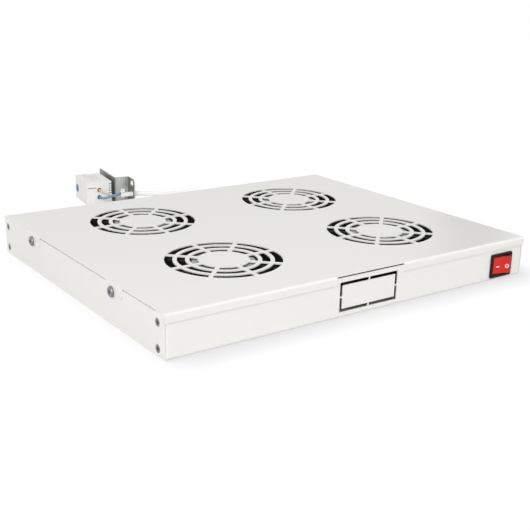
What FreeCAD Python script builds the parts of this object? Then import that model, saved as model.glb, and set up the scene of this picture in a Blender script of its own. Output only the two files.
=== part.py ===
"""Rack fan tray: four mains fans in a flat sheet-metal case, with a rocker switch
and a remote thermostat on its own bracket.

Units are millimetres. The origin is the centre of the case's underside. X runs along
the front from left to right, the front faces -Y and Z points up.
"""

import FreeCAD, Part
import math
import os

Vector = FreeCAD.Vector

# Case -------------------------------------------------------------------------
CASE_WIDTH = 440.0          # over the side panels
CASE_DEPTH = 364.0          # over the cover's front and rear lips
CASE_HEIGHT = 41.5          # underside to top of cover
SHEET = 1.2                 # steel sheet
BEND = 2.4                  # outside radius of a fold
GAP = 1.2                   # between the cover and the pan's rim
SIDE_GAP = 0.8              # between the cover and a side panel
SIDE_GAP_ENDS = (-166.5, 110.5)     # the panel touches the cover beyond these
PANEL_SETBACK = 0.4         # side panel behind the outer face of the walls

# Cover ------------------------------------------------------------------------
LIP = 8.3                   # depth of the front and rear lips
NOTCH = (-39.3, 44.5)       # part of the front lip cut away above the knock-out
NOTCH_DEPTH = 0.9           # cut into the top, behind the outer face of the wall
TAB_BOTTOM = 30.2           # lower edge of the side tabs
TAB_CORNER = 5.0
TAB_FRONTS = (-107.0, 79.0)     # front edge of each tab
TAB_SCREWS = (-87.6, 98.3)      # screw in each tab
TAB_WIDTH = 31.0
TAB_SCREW_HEIGHT = 33.0
COVER_SCREW_HEAD_R = 5.2
COVER_SCREW_HEAD = 2.4
TAB_SLOT = 4.6

# Corner flanges and their screws ---------------------------------------------
FRONT_FLANGE = 20.0         # from the outer face of the wall
REAR_FLANGE = 14.0
FLANGE_CHAMFER = 6.0
CORNER_SCREW_HEIGHTS = (7.3, 30.7)
CORNER_SCREW_FRONT = 12.8   # from the front of the case
CORNER_SCREW_REAR = 10.0    # from the rear of the case
CORNER_SCREW_HEAD_R = 3.9
CORNER_SCREW_NECK_R = 2.7
FAN_SCREW_HEAD_R = 3.45
FAN_SCREW_NECK_R = 2.25
SCREW_PLAY = 0.05           # round a countersunk head
THREAD_R = 2.0              # M4 holes
SHANK_R = 1.95

# Air grilles ------------------------------------------------------------------
FAN_PITCH_X = 201.4
FAN_PITCH_Y = 165.3
FAN_OFFSET = (2.2, 1.95)    # of the four fans from the middle of the case
SLOT_RINGS = ((57.5, 49.5), (45.3, 37.3), (33.2, 25.4))
SPOKES = 8
SPOKE_WIDTH = 4.2

# Fan --------------------------------------------------------------------------
FAN_SIZE = 120.0
FAN_DEPTH = 38.0
FAN_CORNER = 3.5
FAN_BORE_R = 58.0
FAN_WALL = 2.0
FAN_FLANGE = 5.0
FAN_HOLE_PITCH = 105.0
FAN_HOLE_R = 2.15
STRUT_WIDTH = 4.0
STRUT_DROP = 2.0            # strut tops below the frame's top
STRUT_EDGE = 0.9
BASE_HEIGHT = 4.5           # of the motor base
MOTOR_BASE_R = 32.5
LABEL_R = 31.0
LABEL = 0.2
BEARING_SEAT_R = 6.0
BEARING_R = 4.0
SHAFT_R = 2.0
RUNNING_FIT = 0.04
STATOR_R = 25.0
COIL_R = 20.0
HUB_R = 31.0
HUB_WALL = 2.5
HUB_BOTTOM = 3.0
BLADES = 5
BLADE_TIP_R = 56.5
BLADE_THICK = 2.0
BLADE_MIDDLE = 18.0         # height of the blades' middle above the fan's foot

# Front panel ------------------------------------------------------------------
KNOCKOUT = (72.0, 29.4)     # outline over the slots
KNOCKOUT_X = 1.0
KNOCKOUT_BOTTOM = 5.4
KNOCKOUT_SLOT = 3.3
KNOCKOUT_BRIDGE = 1.2
SWITCH_X = 186.5
SWITCH_Z = 15.6
BEZEL = (32.0, 26.0)
BEZEL_PROUD = 2.0
SWITCH_CUTOUT = (27.4, 22.2)
SWITCH_BODY_DEPTH = 20.0
SWITCH_MOUTH = (24.8, 20.2)
MOUTH_CHAMFER = 0.9
ROCKER_HALF = 10.9
ROCKER_HEIGHT = 19.2
ROCKER_EDGE = 1.0           # rounding of its front edges
ROCKER_SLOPE = 6.0          # degrees of each half of its face
ROCKER_TURN = 13.0          # degrees either side of the middle
ROCKER_PIVOT = 1.9          # behind the bezel's face
PIVOT_R = 0.9
BLADE_TERMINAL = (0.8, 4.8, 8.0)    # thickness, width, length
BLADE_PLACE = (7.0, 5.5)    # from the middle of the switch
MARK_DROP = 1.4             # marks below the middle of the rocker
MARK_BAR = ((-7.1, -2.6), 1.2)
MARK_RING = (6.8, 2.3, 1.2)
MARK = 0.15

# Rear panel -------------------------------------------------------------------
INLET_X = 130.0
INLET_Z = 19.0
INLET_FLANGE = (50.0, 25.0)
INLET_BODY = (27.0, 20.0)
INLET_DEPTH = 20.0
INLET_MOUTH = (24.0, 17.0)
INLET_SCREW_PITCH = 40.0
INLET_HOLE_R = 1.6
INLET_TAB = 6.0             # contact behind the inlet's body
GLAND_X = 185.0
GLAND_Z = 18.0
GLAND_THREAD_R = 8.0
GLAND_HEX = (20.0, 5.0)     # across flats, thickness
GLAND_NECK = (7.0, 6.0)     # radius, length
GLAND_CAP = (19.0, 8.0)
GLAND_DOME = (9.0, 5.6, 4.0)
GLAND_LOCKNUT = (22.0, 4.5)
GLAND_PLAY = 0.1            # round the cable

# Terminal block ---------------------------------------------------------------
BLOCK_WAYS = 6
BLOCK_PITCH = 9.0
BLOCK_CENTRE = (0.0, 3.0)
BLOCK_DEPTH = 20.0
BLOCK_TOP = 15.0
LEAD_LEVEL = 8.0            # of the wires where they enter the block
CLAMP_R = 2.4
LEAD_R = 1.3

# Thermostat -------------------------------------------------------------------
THERMOSTAT_CORNER = (-54.6, 327.0)   # near left corner of its foot
THERMOSTAT_YAW = -8.2
THERMOSTAT = (34.0, 56.0, 31.2)      # depth, length, height as it lies
COVER_DEPTH = 26.0                   # of the depth, the rest is the base
WALL = 1.6
EDGE = 0.8                           # rounding of its front edges
KNOB_PLACE = (47.3, 14.6)            # along the length, height
KNOB_R = 5.3
KNOB_PROUD = 0.5
KNOB_PLAY = 0.12
KNOB_FLANGE = (1.2, 1.0)             # wider than the knob, thickness
SPINDLE_R = 2.5
WIRE_HOLES = ((16.7, 20.4), (16.5, 10.4))  # brown above, blue below
WIRE_HOLE_R = 2.9
COLLAR = (1.3, 0.8)                  # width and height round a wire hole
COMB = (8.1, 3.15, 1.6, 7, 3.4)      # lowest slot, pitch, slot, count, depth

# Bracket ----------------------------------------------------------------------
BRACKET_START = 38.9        # thermostat depth axis: face of the long plate
BRACKET_STEP = 21.0
BRACKET_NEAR = 1.5          # near face of the short leg
BRACKET_LENGTH = 68.0
BRACKET_REACH = 23.0
BRACKET_HEIGHT = 35.3
BRACKET_SHEET = 1.5
RACK_SLOT = (10.5, 7.0)
RACK_SLOT_HEIGHTS = (14.3, 29.3)
RACK_SLOT_PLACE = -13.3

# Cable ------------------------------------------------------------------------
SHEATH_R = 3.2
CORE_R = 1.6
CORE_OFFSET = 1.65          # of each core from the sheath's axis
SHEATH_END = 42.6           # thermostat depth axis: where the sheath is stripped
SHEATH_HEIGHT = 14.4
CABLE_ON_FLOOR = (
    (38.0, 304.0, 10.4),
    (66.0, 309.0, 5.2),
    (97.0, 319.0, 3.3),
    (127.0, 321.0, 3.3),
    (153.0, 314.0, 3.3),
    (174.0, 296.0, 3.3),
    (186.0, 270.0, 3.3),
    (187.0, 241.0, 10.0),
    (185.0, 207.5, 18.0),
    (185.0, 171.5, 18.0),
)

# Worked out -------------------------------------------------------------------
HALF_WIDTH = CASE_WIDTH / 2
HALF_DEPTH = CASE_DEPTH / 2
WALL_FACE = HALF_DEPTH - SHEET            # outer face of the front and rear walls
PAN_SIDE = HALF_WIDTH - SHEET             # outer face of the corner flanges
COVER_UNDER = CASE_HEIGHT - SHEET
PAN_TOP = COVER_UNDER - GAP
INNER_BEND = BEND - SHEET
FAN_FOOT = SHEET
FAN_CENTRES = [
    (FAN_OFFSET[0] + side * FAN_PITCH_X / 2, FAN_OFFSET[1] + row * FAN_PITCH_Y / 2)
    for row in (-1, 1)
    for side in (-1, 1)
]
X_AXIS = (1, 0, 0)
Y_AXIS = (0, 1, 0)
Z_AXIS = (0, 0, 1)


# Building blocks --------------------------------------------------------------
def block(x, y, z):
    """Box between the low and high value of each pair."""
    return Part.makeBox(x[1] - x[0], y[1] - y[0], z[1] - z[0], Vector(x[0], y[0], z[0]))


def centred(x, y, z):
    """Box centred on x and y, between the low and high z; x and y are (middle, size)."""
    return block(
        (x[0] - x[1] / 2, x[0] + x[1] / 2),
        (y[0] - y[1] / 2, y[0] + y[1] / 2),
        z,
    )


def rod(base, radius, length, axis=Z_AXIS):
    """Cylinder from base along axis."""
    return Part.makeCylinder(radius, length, Vector(*base), Vector(*axis))


def taper(base, low_radius, high_radius, length, axis=Z_AXIS):
    """Cone frustum from base along axis."""
    return Part.makeCone(low_radius, high_radius, length, Vector(*base), Vector(*axis))


def ring(base, outer, inner, length, axis=Z_AXIS):
    """Cylindrical ring from base along axis."""
    return rod(base, outer, length, axis).cut(rod(base, inner, length, axis))


def join(shapes):
    """One solid out of touching shapes."""
    return shapes[0].multiFuse(shapes[1:]).removeSplitter()


def outline(points, radii):
    """Closed flat wire whose corners are rounded, each by its own radius."""
    edges = []
    entries = []
    exits = []
    for index, point in enumerate(points):
        corner = Vector(*point)
        back = (Vector(*points[index - 1]) - corner).normalize()
        ahead = (Vector(*points[(index + 1) % len(points)]) - corner).normalize()
        if radii[index] == 0:
            entries.append(corner)
            exits.append(corner)
            continue
        half = back.getAngle(ahead) / 2
        reach = radii[index] / math.tan(half)
        middle = corner + (back + ahead).normalize() * (radii[index] / math.sin(half) - radii[index])
        entries.append(corner + back * reach)
        exits.append(corner + ahead * reach)
        edges.append(Part.Arc(entries[-1], middle, exits[-1]).toShape())
    for index, start in enumerate(exits):
        end = entries[(index + 1) % len(points)]
        if start.distanceToPoint(end) > 1e-6:
            edges.append(Part.LineSegment(start, end).toShape())
    return Part.Wire(Part.__sortEdges__(edges))


def prism(points, radii, direction):
    """Rounded flat outline pushed along direction."""
    return Part.Face(outline(points, radii)).extrude(Vector(*direction))


def rounded_plate(x, z, corner, y):
    """Plate facing along Y with rounded corners; x and z are (middle, size), y is (low, high)."""
    left, right = x[0] - x[1] / 2, x[0] + x[1] / 2
    low, high = z[0] - z[1] / 2, z[0] + z[1] / 2
    corners = [(left, y[0], low), (right, y[0], low), (right, y[0], high), (left, y[0], high)]
    return prism(corners, [corner] * 4, (0, y[1] - y[0], 0))


def hexagon(centre, across_flats, length, axis=Z_AXIS):
    """Hexagonal prism from centre along axis."""
    polygon = Part.makePolygon([
        Vector(
            across_flats / math.sqrt(3) * math.cos(math.radians(60 * step)),
            across_flats / math.sqrt(3) * math.sin(math.radians(60 * step)),
            0,
        )
        for step in range(7)
    ])
    solid = Part.Face(polygon).extrude(Vector(0, 0, length))
    turn = FreeCAD.Rotation(Vector(*Z_AXIS), Vector(*axis))
    solid.Placement = FreeCAD.Placement(Vector(*centre), turn)
    return solid


def cross_recess(head_face, inward, size, depth):
    """Two crossed bars that cut a cross recess into a screw head."""
    face = Vector(*head_face)
    turn = FreeCAD.Rotation(Vector(*Z_AXIS), Vector(*inward))
    bars = [
        Part.makeBox(size, size / 4, depth, Vector(-size / 2, -size / 8, 0)),
        Part.makeBox(size / 4, size, depth, Vector(-size / 8, -size / 2, 0)),
    ]
    recess = join(bars)
    recess.Placement = FreeCAD.Placement(face, turn)
    return recess


def tube(points, radius):
    """Round tube along straight runs joined by tangent arcs, as wide as the runs allow."""
    path = []
    cursor = Vector(*points[0])
    radii = []
    for before, point, after in zip(points, points[1:], points[2:]):
        corner = Vector(*point)
        back = Vector(*before) - corner
        ahead = Vector(*after) - corner
        reach = 0.45 * min(back.Length, ahead.Length)
        back.normalize()
        ahead.normalize()
        half = back.getAngle(ahead) / 2
        bend = reach * math.tan(half)
        radii.append(bend)
        entry = corner + back * reach
        leave = corner + ahead * reach
        middle = corner + (back + ahead).normalize() * (bend / math.sin(half) - bend)
        path.append(Part.LineSegment(cursor, entry).toShape())
        path.append(Part.Arc(entry, middle, leave).toShape())
        cursor = leave
    path.append(Part.LineSegment(cursor, Vector(*points[-1])).toShape())
    spine = Part.Wire(path)
    start = Vector(*points[0])
    heading = Vector(*points[1]) - start
    section = Part.Wire(Part.makeCircle(radius, start, heading))
    solid = spine.makePipeShell([section], True, False)
    expected = math.pi * radius ** 2 * spine.Length
    print("tube r %.1f length %.0f smallest bend %.0f volume ratio %.3f"
          % (radius, spine.Length, min(radii), solid.Volume / expected))
    return solid


def at_thermostat(point):
    """Case position of a point given along the thermostat's depth, length and height."""
    yaw = math.radians(THERMOSTAT_YAW)
    depth, length, height = point
    return (
        THERMOSTAT_CORNER[0] + depth * math.cos(yaw) - length * math.sin(yaw),
        THERMOSTAT_CORNER[1] + depth * math.sin(yaw) + length * math.cos(yaw),
        height,
    )


def place_at_thermostat(shape):
    """Move a shape built along the thermostat's own axes to where it lies."""
    turn = FreeCAD.Rotation(Vector(*Z_AXIS), THERMOSTAT_YAW)
    corner = Vector(THERMOSTAT_CORNER[0], THERMOSTAT_CORNER[1], 0)
    moved = shape.copy()
    moved.Placement = FreeCAD.Placement(corner, turn).multiply(moved.Placement)
    return moved


def mirrored_x(shape):
    """The same shape on the other side of the case."""
    return shape.mirror(Vector(0, 0, 0), Vector(*X_AXIS))


# Case pieces ------------------------------------------------------------------
def channel(half_width, half_depth, outer, inner, rim):
    """Sheet folded to a U across Y: its web lies from inner to outer, its legs end at rim."""
    points = [
        (-half_width, -half_depth, rim),
        (-half_width, -half_depth, outer),
        (-half_width, half_depth, outer),
        (-half_width, half_depth, rim),
        (-half_width, half_depth - SHEET, rim),
        (-half_width, half_depth - SHEET, inner),
        (-half_width, SHEET - half_depth, inner),
        (-half_width, SHEET - half_depth, rim),
    ]
    radii = [0, BEND, BEND, 0, 0, INNER_BEND, INNER_BEND, 0]
    return prism(points, radii, (2 * half_width, 0, 0))


def grille_slots(centre, low, high):
    """Cutters for one round grille: rings of slots left open between the spokes."""
    x, y = centre
    reach = SLOT_RINGS[0][0] + 1
    spokes = []
    for step in range(SPOKES // 2):
        bar = block((-reach, reach), (-SPOKE_WIDTH / 2, SPOKE_WIDTH / 2), (low, high))
        bar.rotate(Vector(0, 0, 0), Vector(*Z_AXIS), step * 360 / SPOKES)
        bar.translate(Vector(x, y, 0))
        spokes.append(bar)
    rings = [ring((x, y, low), outer, inner, high - low) for outer, inner in SLOT_RINGS]
    return Part.makeCompound(rings).cut(Part.makeCompound([join(spokes)]))


def corner_flange(front):
    """Flange folded back from one end of a wall, on the right; front is -1 or +1 along Y."""
    depth = FRONT_FLANGE if front < 0 else REAR_FLANGE
    start = WALL_FACE - BEND
    end = WALL_FACE - depth
    post = ring((PAN_SIDE - BEND, front * start, BEND), BEND, INNER_BEND, PAN_TOP - BEND)
    quarter = block(
        (PAN_SIDE - BEND, PAN_SIDE),
        tuple(sorted((front * start, front * WALL_FACE))),
        (BEND, PAN_TOP),
    )
    points = [
        (PAN_SIDE - SHEET, front * start, BEND),
        (PAN_SIDE - SHEET, front * end, BEND),
        (PAN_SIDE - SHEET, front * end, PAN_TOP - FLANGE_CHAMFER),
        (PAN_SIDE - SHEET, front * (end + FLANGE_CHAMFER), PAN_TOP),
        (PAN_SIDE - SHEET, front * start, PAN_TOP),
    ]
    plate = prism(points, [0] * 5, (SHEET, 0, 0))
    return join([post.common(quarter), plate])


def corner_screw_places():
    """Where the countersunk screws of the right side panel sit, along Y and Z."""
    rows = (CORNER_SCREW_FRONT - HALF_DEPTH, HALF_DEPTH - CORNER_SCREW_REAR)
    return [(row, height) for row in rows for height in CORNER_SCREW_HEIGHTS]


def fan_screw_places():
    """Centre of every fan screw on the floor of the case."""
    half = FAN_HOLE_PITCH / 2
    return [
        (x + dx * half, y + dy * half)
        for x, y in FAN_CENTRES
        for dx in (-1, 1)
        for dy in (-1, 1)
    ]


def knockout_slots():
    """Four L-shaped slots that leave a plate held by four small bridges."""
    width, height = KNOCKOUT
    middle = -WALL_FACE + SHEET / 2
    deep = 3 * SHEET
    rise = (KNOCKOUT_BOTTOM, KNOCKOUT_BOTTOM + height)
    bridge = KNOCKOUT_BRIDGE / 2
    waist = sum(rise) / 2
    outside = centred((KNOCKOUT_X, width), (middle, deep), rise)
    inside = centred(
        (KNOCKOUT_X, width - 2 * KNOCKOUT_SLOT),
        (middle, deep),
        (rise[0] + KNOCKOUT_SLOT, rise[1] - KNOCKOUT_SLOT),
    )
    upright = centred((KNOCKOUT_X, 2 * bridge), (middle, deep), (0, PAN_TOP))
    level = centred((KNOCKOUT_X, 2 * width), (middle, deep), (waist - bridge, waist + bridge))
    return outside.cut([inside, upright, level])


def base_pan():
    """Floor, front wall and rear wall folded from one sheet, with corner flanges."""
    folded = channel(PAN_SIDE - BEND, WALL_FACE, 0, SHEET, PAN_TOP)
    corners = [
        (-PAN_SIDE, -WALL_FACE, 0),
        (PAN_SIDE, -WALL_FACE, 0),
        (PAN_SIDE, WALL_FACE, 0),
        (-PAN_SIDE, WALL_FACE, 0),
    ]
    plan = prism(corners, [BEND] * 4, (0, 0, BEND))
    floor = channel(PAN_SIDE, WALL_FACE, 0, SHEET, BEND).common(plan)
    right = [corner_flange(-1), corner_flange(1)]
    left = [mirrored_x(flange) for flange in right]
    pan = join([folded, floor] + right + left)
    cutters = [grille_slots(centre, -1, SHEET + 1) for centre in FAN_CENTRES]
    for x, y in fan_screw_places():
        cutters.append(taper((x, y, 0), FAN_SCREW_HEAD_R, FAN_SCREW_NECK_R, SHEET))
    for y, z in corner_screw_places():
        through = rod((PAN_SIDE - 2 * SHEET, y, z), THREAD_R, 3 * SHEET, X_AXIS)
        cutters.append(through)
        cutters.append(mirrored_x(through))
    cutters.append(knockout_slots())
    cutters.append(rounded_plate(
        (SWITCH_X, SWITCH_CUTOUT[0]), (SWITCH_Z, SWITCH_CUTOUT[1]), 0.5,
        (-WALL_FACE - 1, -WALL_FACE + SHEET + 1),
    ))
    rear = (WALL_FACE - SHEET - 1, WALL_FACE + 1)
    cutters.append(rounded_plate(
        (INLET_X, INLET_BODY[0] + 0.4), (INLET_Z, INLET_BODY[1] + 0.4), 2.0, rear,
    ))
    for side in (-1, 1):
        hole = (INLET_X + side * INLET_SCREW_PITCH / 2, rear[0], INLET_Z)
        cutters.append(rod(hole, INLET_HOLE_R, rear[1] - rear[0], Y_AXIS))
    cutters.append(rod((GLAND_X, rear[0], GLAND_Z), GLAND_THREAD_R + 0.1, rear[1] - rear[0], Y_AXIS))
    return pan.cut(cutters)


def side_panel():
    """Flat right side panel, relieved under the cover's tabs, with its screw holes."""
    reach = WALL_FACE - PANEL_SETBACK
    across = (PAN_SIDE, HALF_WIDTH)
    panel = block(across, (-reach, reach), (0, COVER_UNDER))
    corners = [
        edge for edge in panel.Edges
        if edge.BoundBox.ZMin > COVER_UNDER - 0.01 and edge.BoundBox.YLength < 0.01
    ]
    panel = panel.makeFillet(INNER_BEND + PANEL_SETBACK, corners)
    cutters = [block(across, SIDE_GAP_ENDS, (COVER_UNDER - SIDE_GAP, CASE_HEIGHT))]
    for front in TAB_FRONTS:
        under = (front - SIDE_GAP, front + TAB_WIDTH + SIDE_GAP)
        cutters.append(block(across, under, (PAN_TOP, CASE_HEIGHT)))
    for y, z in corner_screw_places():
        hole = (HALF_WIDTH, y, z)
        cutters.append(taper(hole, CORNER_SCREW_HEAD_R, CORNER_SCREW_NECK_R, SHEET, (-1, 0, 0)))
    for y in TAB_SCREWS:
        cutters.append(rod((PAN_SIDE, y, TAB_SCREW_HEIGHT), THREAD_R, SHEET, X_AXIS))
    return panel.cut(cutters)


def cover_tab(front):
    """Tab folded down over the right side panel, open slot for its screw."""
    back = front + TAB_WIDTH
    outer = HALF_WIDTH + SHEET
    points = [
        (outer - 3 * BEND, front, CASE_HEIGHT),
        (outer, front, CASE_HEIGHT),
        (outer, front, TAB_BOTTOM),
        (outer - SHEET, front, TAB_BOTTOM),
        (outer - SHEET, front, COVER_UNDER),
        (outer - 3 * BEND, front, COVER_UNDER),
    ]
    strip = prism(points, [0, BEND, 0, 0, INNER_BEND, 0], (0, TAB_WIDTH, 0))
    shape = [
        (0, front, TAB_BOTTOM),
        (0, back, TAB_BOTTOM),
        (0, back, CASE_HEIGHT + 1),
        (0, front, CASE_HEIGHT + 1),
    ]
    rounded = prism(shape, [TAB_CORNER, TAB_CORNER, 0, 0], (outer + BEND, 0, 0))
    return strip.common(rounded)


def top_cover():
    """Lid with four grilles, a lip over each wall and two screw tabs on each side."""
    lid = channel(HALF_WIDTH, HALF_DEPTH, CASE_HEIGHT, COVER_UNDER, CASE_HEIGHT - LIP)
    tabs = [cover_tab(front) for front in TAB_FRONTS]
    lid = join([lid] + tabs + [mirrored_x(tab) for tab in tabs])
    cutters = [grille_slots(centre, COVER_UNDER - 1, CASE_HEIGHT + 1) for centre in FAN_CENTRES]
    cutters.append(block(
        NOTCH, (-HALF_DEPTH - 1, NOTCH_DEPTH - WALL_FACE), (CASE_HEIGHT - LIP - 1, CASE_HEIGHT + 1),
    ))
    for y in TAB_SCREWS:
        slot = join([
            rod((HALF_WIDTH - 1, y, TAB_SCREW_HEIGHT), TAB_SLOT / 2, 2 * SHEET + 1, X_AXIS),
            centred(
                (HALF_WIDTH + SHEET / 2, 2 * SHEET + 1),
                (y, TAB_SLOT),
                (TAB_BOTTOM - 1, TAB_SCREW_HEIGHT),
            ),
        ])
        cutters.append(slot)
        cutters.append(mirrored_x(slot))
    return lid.cut(cutters)


def cover_screws():
    """Pan-head screws that clamp the cover's tabs to the side panels."""
    screws = []
    face = HALF_WIDTH + SHEET
    for y in TAB_SCREWS:
        centre = (face, y, TAB_SCREW_HEIGHT)
        head = rod(centre, COVER_SCREW_HEAD_R, COVER_SCREW_HEAD, X_AXIS)
        rim = [edge for edge in head.Edges if edge.BoundBox.XMin > face + COVER_SCREW_HEAD - 0.01]
        head = head.makeFillet(1.4, rim[:1])
        shank = rod((HALF_WIDTH - 8.0, y, TAB_SCREW_HEIGHT), SHANK_R, 8.0 + SHEET, X_AXIS)
        screw = join([head, shank])
        crown = (face + COVER_SCREW_HEAD, y, TAB_SCREW_HEIGHT)
        screw = screw.cut(cross_recess(crown, (-1, 0, 0), 5.0, 1.4))
        screws.append(screw)
        screws.append(mirrored_x(screw))
    return Part.makeCompound(screws)


def corner_screws():
    """Countersunk screws that hold the side panels to the corner flanges."""
    screws = []
    for y, z in corner_screw_places():
        radii = (CORNER_SCREW_HEAD_R - SCREW_PLAY, CORNER_SCREW_NECK_R - SCREW_PLAY)
        head = taper((HALF_WIDTH, y, z), radii[0], radii[1], SHEET, (-1, 0, 0))
        shank = rod((PAN_SIDE - 5.0, y, z), SHANK_R, 5.0, X_AXIS)
        screw = join([head, shank])
        screw = screw.cut(cross_recess((HALF_WIDTH, y, z), (-1, 0, 0), 4.6, 1.5))
        screws.append(screw)
        screws.append(mirrored_x(screw))
    return Part.makeCompound(screws)


# Fan pieces, each built about the fan's own axis with its foot at z = 0 ---------
def fan_frame():
    """Square frame with round duct, motor base on four diagonal struts, bearing seat."""
    half = FAN_SIZE / 2
    square = [(-half, -half, 0), (half, -half, 0), (half, half, 0), (-half, half, 0)]
    foot = prism(square, [FAN_CORNER] * 4, (0, 0, FAN_FLANGE))
    top = foot.copy()
    top.translate(Vector(0, 0, FAN_DEPTH - FAN_FLANGE))
    duct = rod((0, 0, 0), FAN_BORE_R + FAN_WALL, FAN_DEPTH)
    body = join([foot, duct, top]).cut(rod((0, 0, -1), FAN_BORE_R, FAN_DEPTH + 2))
    half_pitch = FAN_HOLE_PITCH / 2
    holes = [
        rod((dx * half_pitch, dy * half_pitch, -1), FAN_HOLE_R, FAN_DEPTH + 2)
        for dx in (-1, 1)
        for dy in (-1, 1)
    ]
    body = body.cut(holes)
    low = FAN_DEPTH - BASE_HEIGHT
    top = FAN_DEPTH - STRUT_DROP
    struts = []
    for step in range(4):
        strut = block((BEARING_R, FAN_BORE_R + 1), (-STRUT_WIDTH / 2, STRUT_WIDTH / 2), (low, top))
        ridges = [
            edge for edge in strut.Edges
            if edge.BoundBox.ZMin > top - 0.01 and edge.BoundBox.XLength > STRUT_WIDTH
        ]
        strut = strut.makeFillet(STRUT_EDGE, ridges)
        strut.rotate(Vector(0, 0, 0), Vector(*Z_AXIS), 45 + 90 * step)
        struts.append(strut)
    base = rod((0, 0, low), MOTOR_BASE_R, BASE_HEIGHT)
    seat = rod((0, 0, 12), BEARING_SEAT_R, low - 12)
    motor = join([base, seat] + struts).cut(rod((0, 0, 11), BEARING_R, low - 11))
    return join([body, motor])


def fan_label():
    """Blank foil disc on the motor base."""
    return rod((0, 0, FAN_DEPTH), LABEL_R, LABEL)


def fan_bearing():
    """Sleeve bearing in the motor base."""
    return ring((0, 0, 14), BEARING_R, SHAFT_R + RUNNING_FIT, 18)


def fan_stator():
    """Laminated core with four poles, and a coil cheek above and below it."""
    core = ring((0, 0, 16), STATOR_R, BEARING_SEAT_R, 12)
    gaps = []
    for step in range(4):
        gap = block((COIL_R - 6, STATOR_R + 1), (-2.5, 2.5), (15, 29))
        gap.rotate(Vector(0, 0, 0), Vector(*Z_AXIS), 90 * step)
        gaps.append(gap)
    lower = ring((0, 0, 13), COIL_R, BEARING_SEAT_R, 3)
    upper = ring((0, 0, 28), COIL_R, BEARING_SEAT_R, 3)
    return join([core.cut(gaps), lower, upper])


def blade_section(radius, chord, pitch, camber):
    """Cambered blade outline in the plane at this distance from the axis."""
    angle = math.radians(pitch)
    along = Vector(0, math.cos(angle), math.sin(angle))
    across = Vector(0, -math.sin(angle), math.cos(angle))
    centre = Vector(radius, 0, BLADE_MIDDLE)
    nose = centre - along * chord / 2
    tail = centre + along * chord / 2
    top_nose = nose + across * BLADE_THICK
    top_tail = tail + across * BLADE_THICK
    lower = Part.Arc(nose, centre + across * camber, tail).toShape()
    upper = Part.Arc(top_tail, centre + across * (camber + BLADE_THICK), top_nose).toShape()
    tip = Part.LineSegment(tail, top_tail).toShape()
    root = Part.LineSegment(top_nose, nose).toShape()
    return Part.Wire([lower, tip, upper, root])


def fan_impeller():
    """Hub cup over the motor with five cambered blades and a boss for the shaft."""
    top = FAN_DEPTH - BASE_HEIGHT - 0.6
    cup = rod((0, 0, HUB_BOTTOM), HUB_R, top - HUB_BOTTOM)
    cup = cup.cut(rod((0, 0, HUB_BOTTOM + HUB_WALL), HUB_R - HUB_WALL, top))
    boss = rod((0, 0, HUB_BOTTOM), 4.5, 8.0)
    root = blade_section(HUB_R - 2, 33.0, 48.0, 3.0)
    tip = blade_section(BLADE_TIP_R + 3, 46.0, 28.0, 4.0)
    blade = Part.makeLoft([root, tip], True, True)
    sweep = ring((0, 0, 0), BLADE_TIP_R, HUB_R - 0.6, FAN_DEPTH)
    blade = blade.common(sweep)
    blades = []
    for step in range(BLADES):
        turned = blade.copy()
        turned.rotate(Vector(0, 0, 0), Vector(*Z_AXIS), step * 360 / BLADES)
        blades.append(turned)
    hub = join([cup, boss]).cut(rod((0, 0, HUB_BOTTOM + 0.5), SHAFT_R, FAN_DEPTH))
    return join([hub] + blades)


def fan_shaft():
    """Steel shaft pressed into the hub's boss and running in the bearing."""
    return rod((0, 0, HUB_BOTTOM + 0.5), SHAFT_R, 27.5)


def fan_screws():
    """Countersunk screws, flush with the underside, one through each fan foot."""
    screws = []
    for x, y in fan_screw_places():
        head = taper((x, y, 0), FAN_SCREW_HEAD_R - SCREW_PLAY, FAN_SCREW_NECK_R - SCREW_PLAY, SHEET)
        shank = rod((x, y, SHEET), SHANK_R, 9.3)
        screw = join([head, shank]).cut(cross_recess((x, y, 0), Z_AXIS, 3.6, 1.2))
        screws.append(screw)
    return Part.makeCompound(screws)


def fan_nuts():
    """Hexagon nuts on the fan feet."""
    nuts = []
    for x, y in fan_screw_places():
        base = (x, y, FAN_FOOT + FAN_FLANGE)
        nuts.append(hexagon(base, 7.0, 3.2).cut(rod(base, THREAD_R, 3.2)))
    return Part.makeCompound(nuts)


# Switch pieces ----------------------------------------------------------------
def switch_pivot():
    """Pivot axis of the rocker, along Z."""
    return Vector(SWITCH_X, -WALL_FACE - BEZEL_PROUD + ROCKER_PIVOT, SWITCH_Z)


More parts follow.
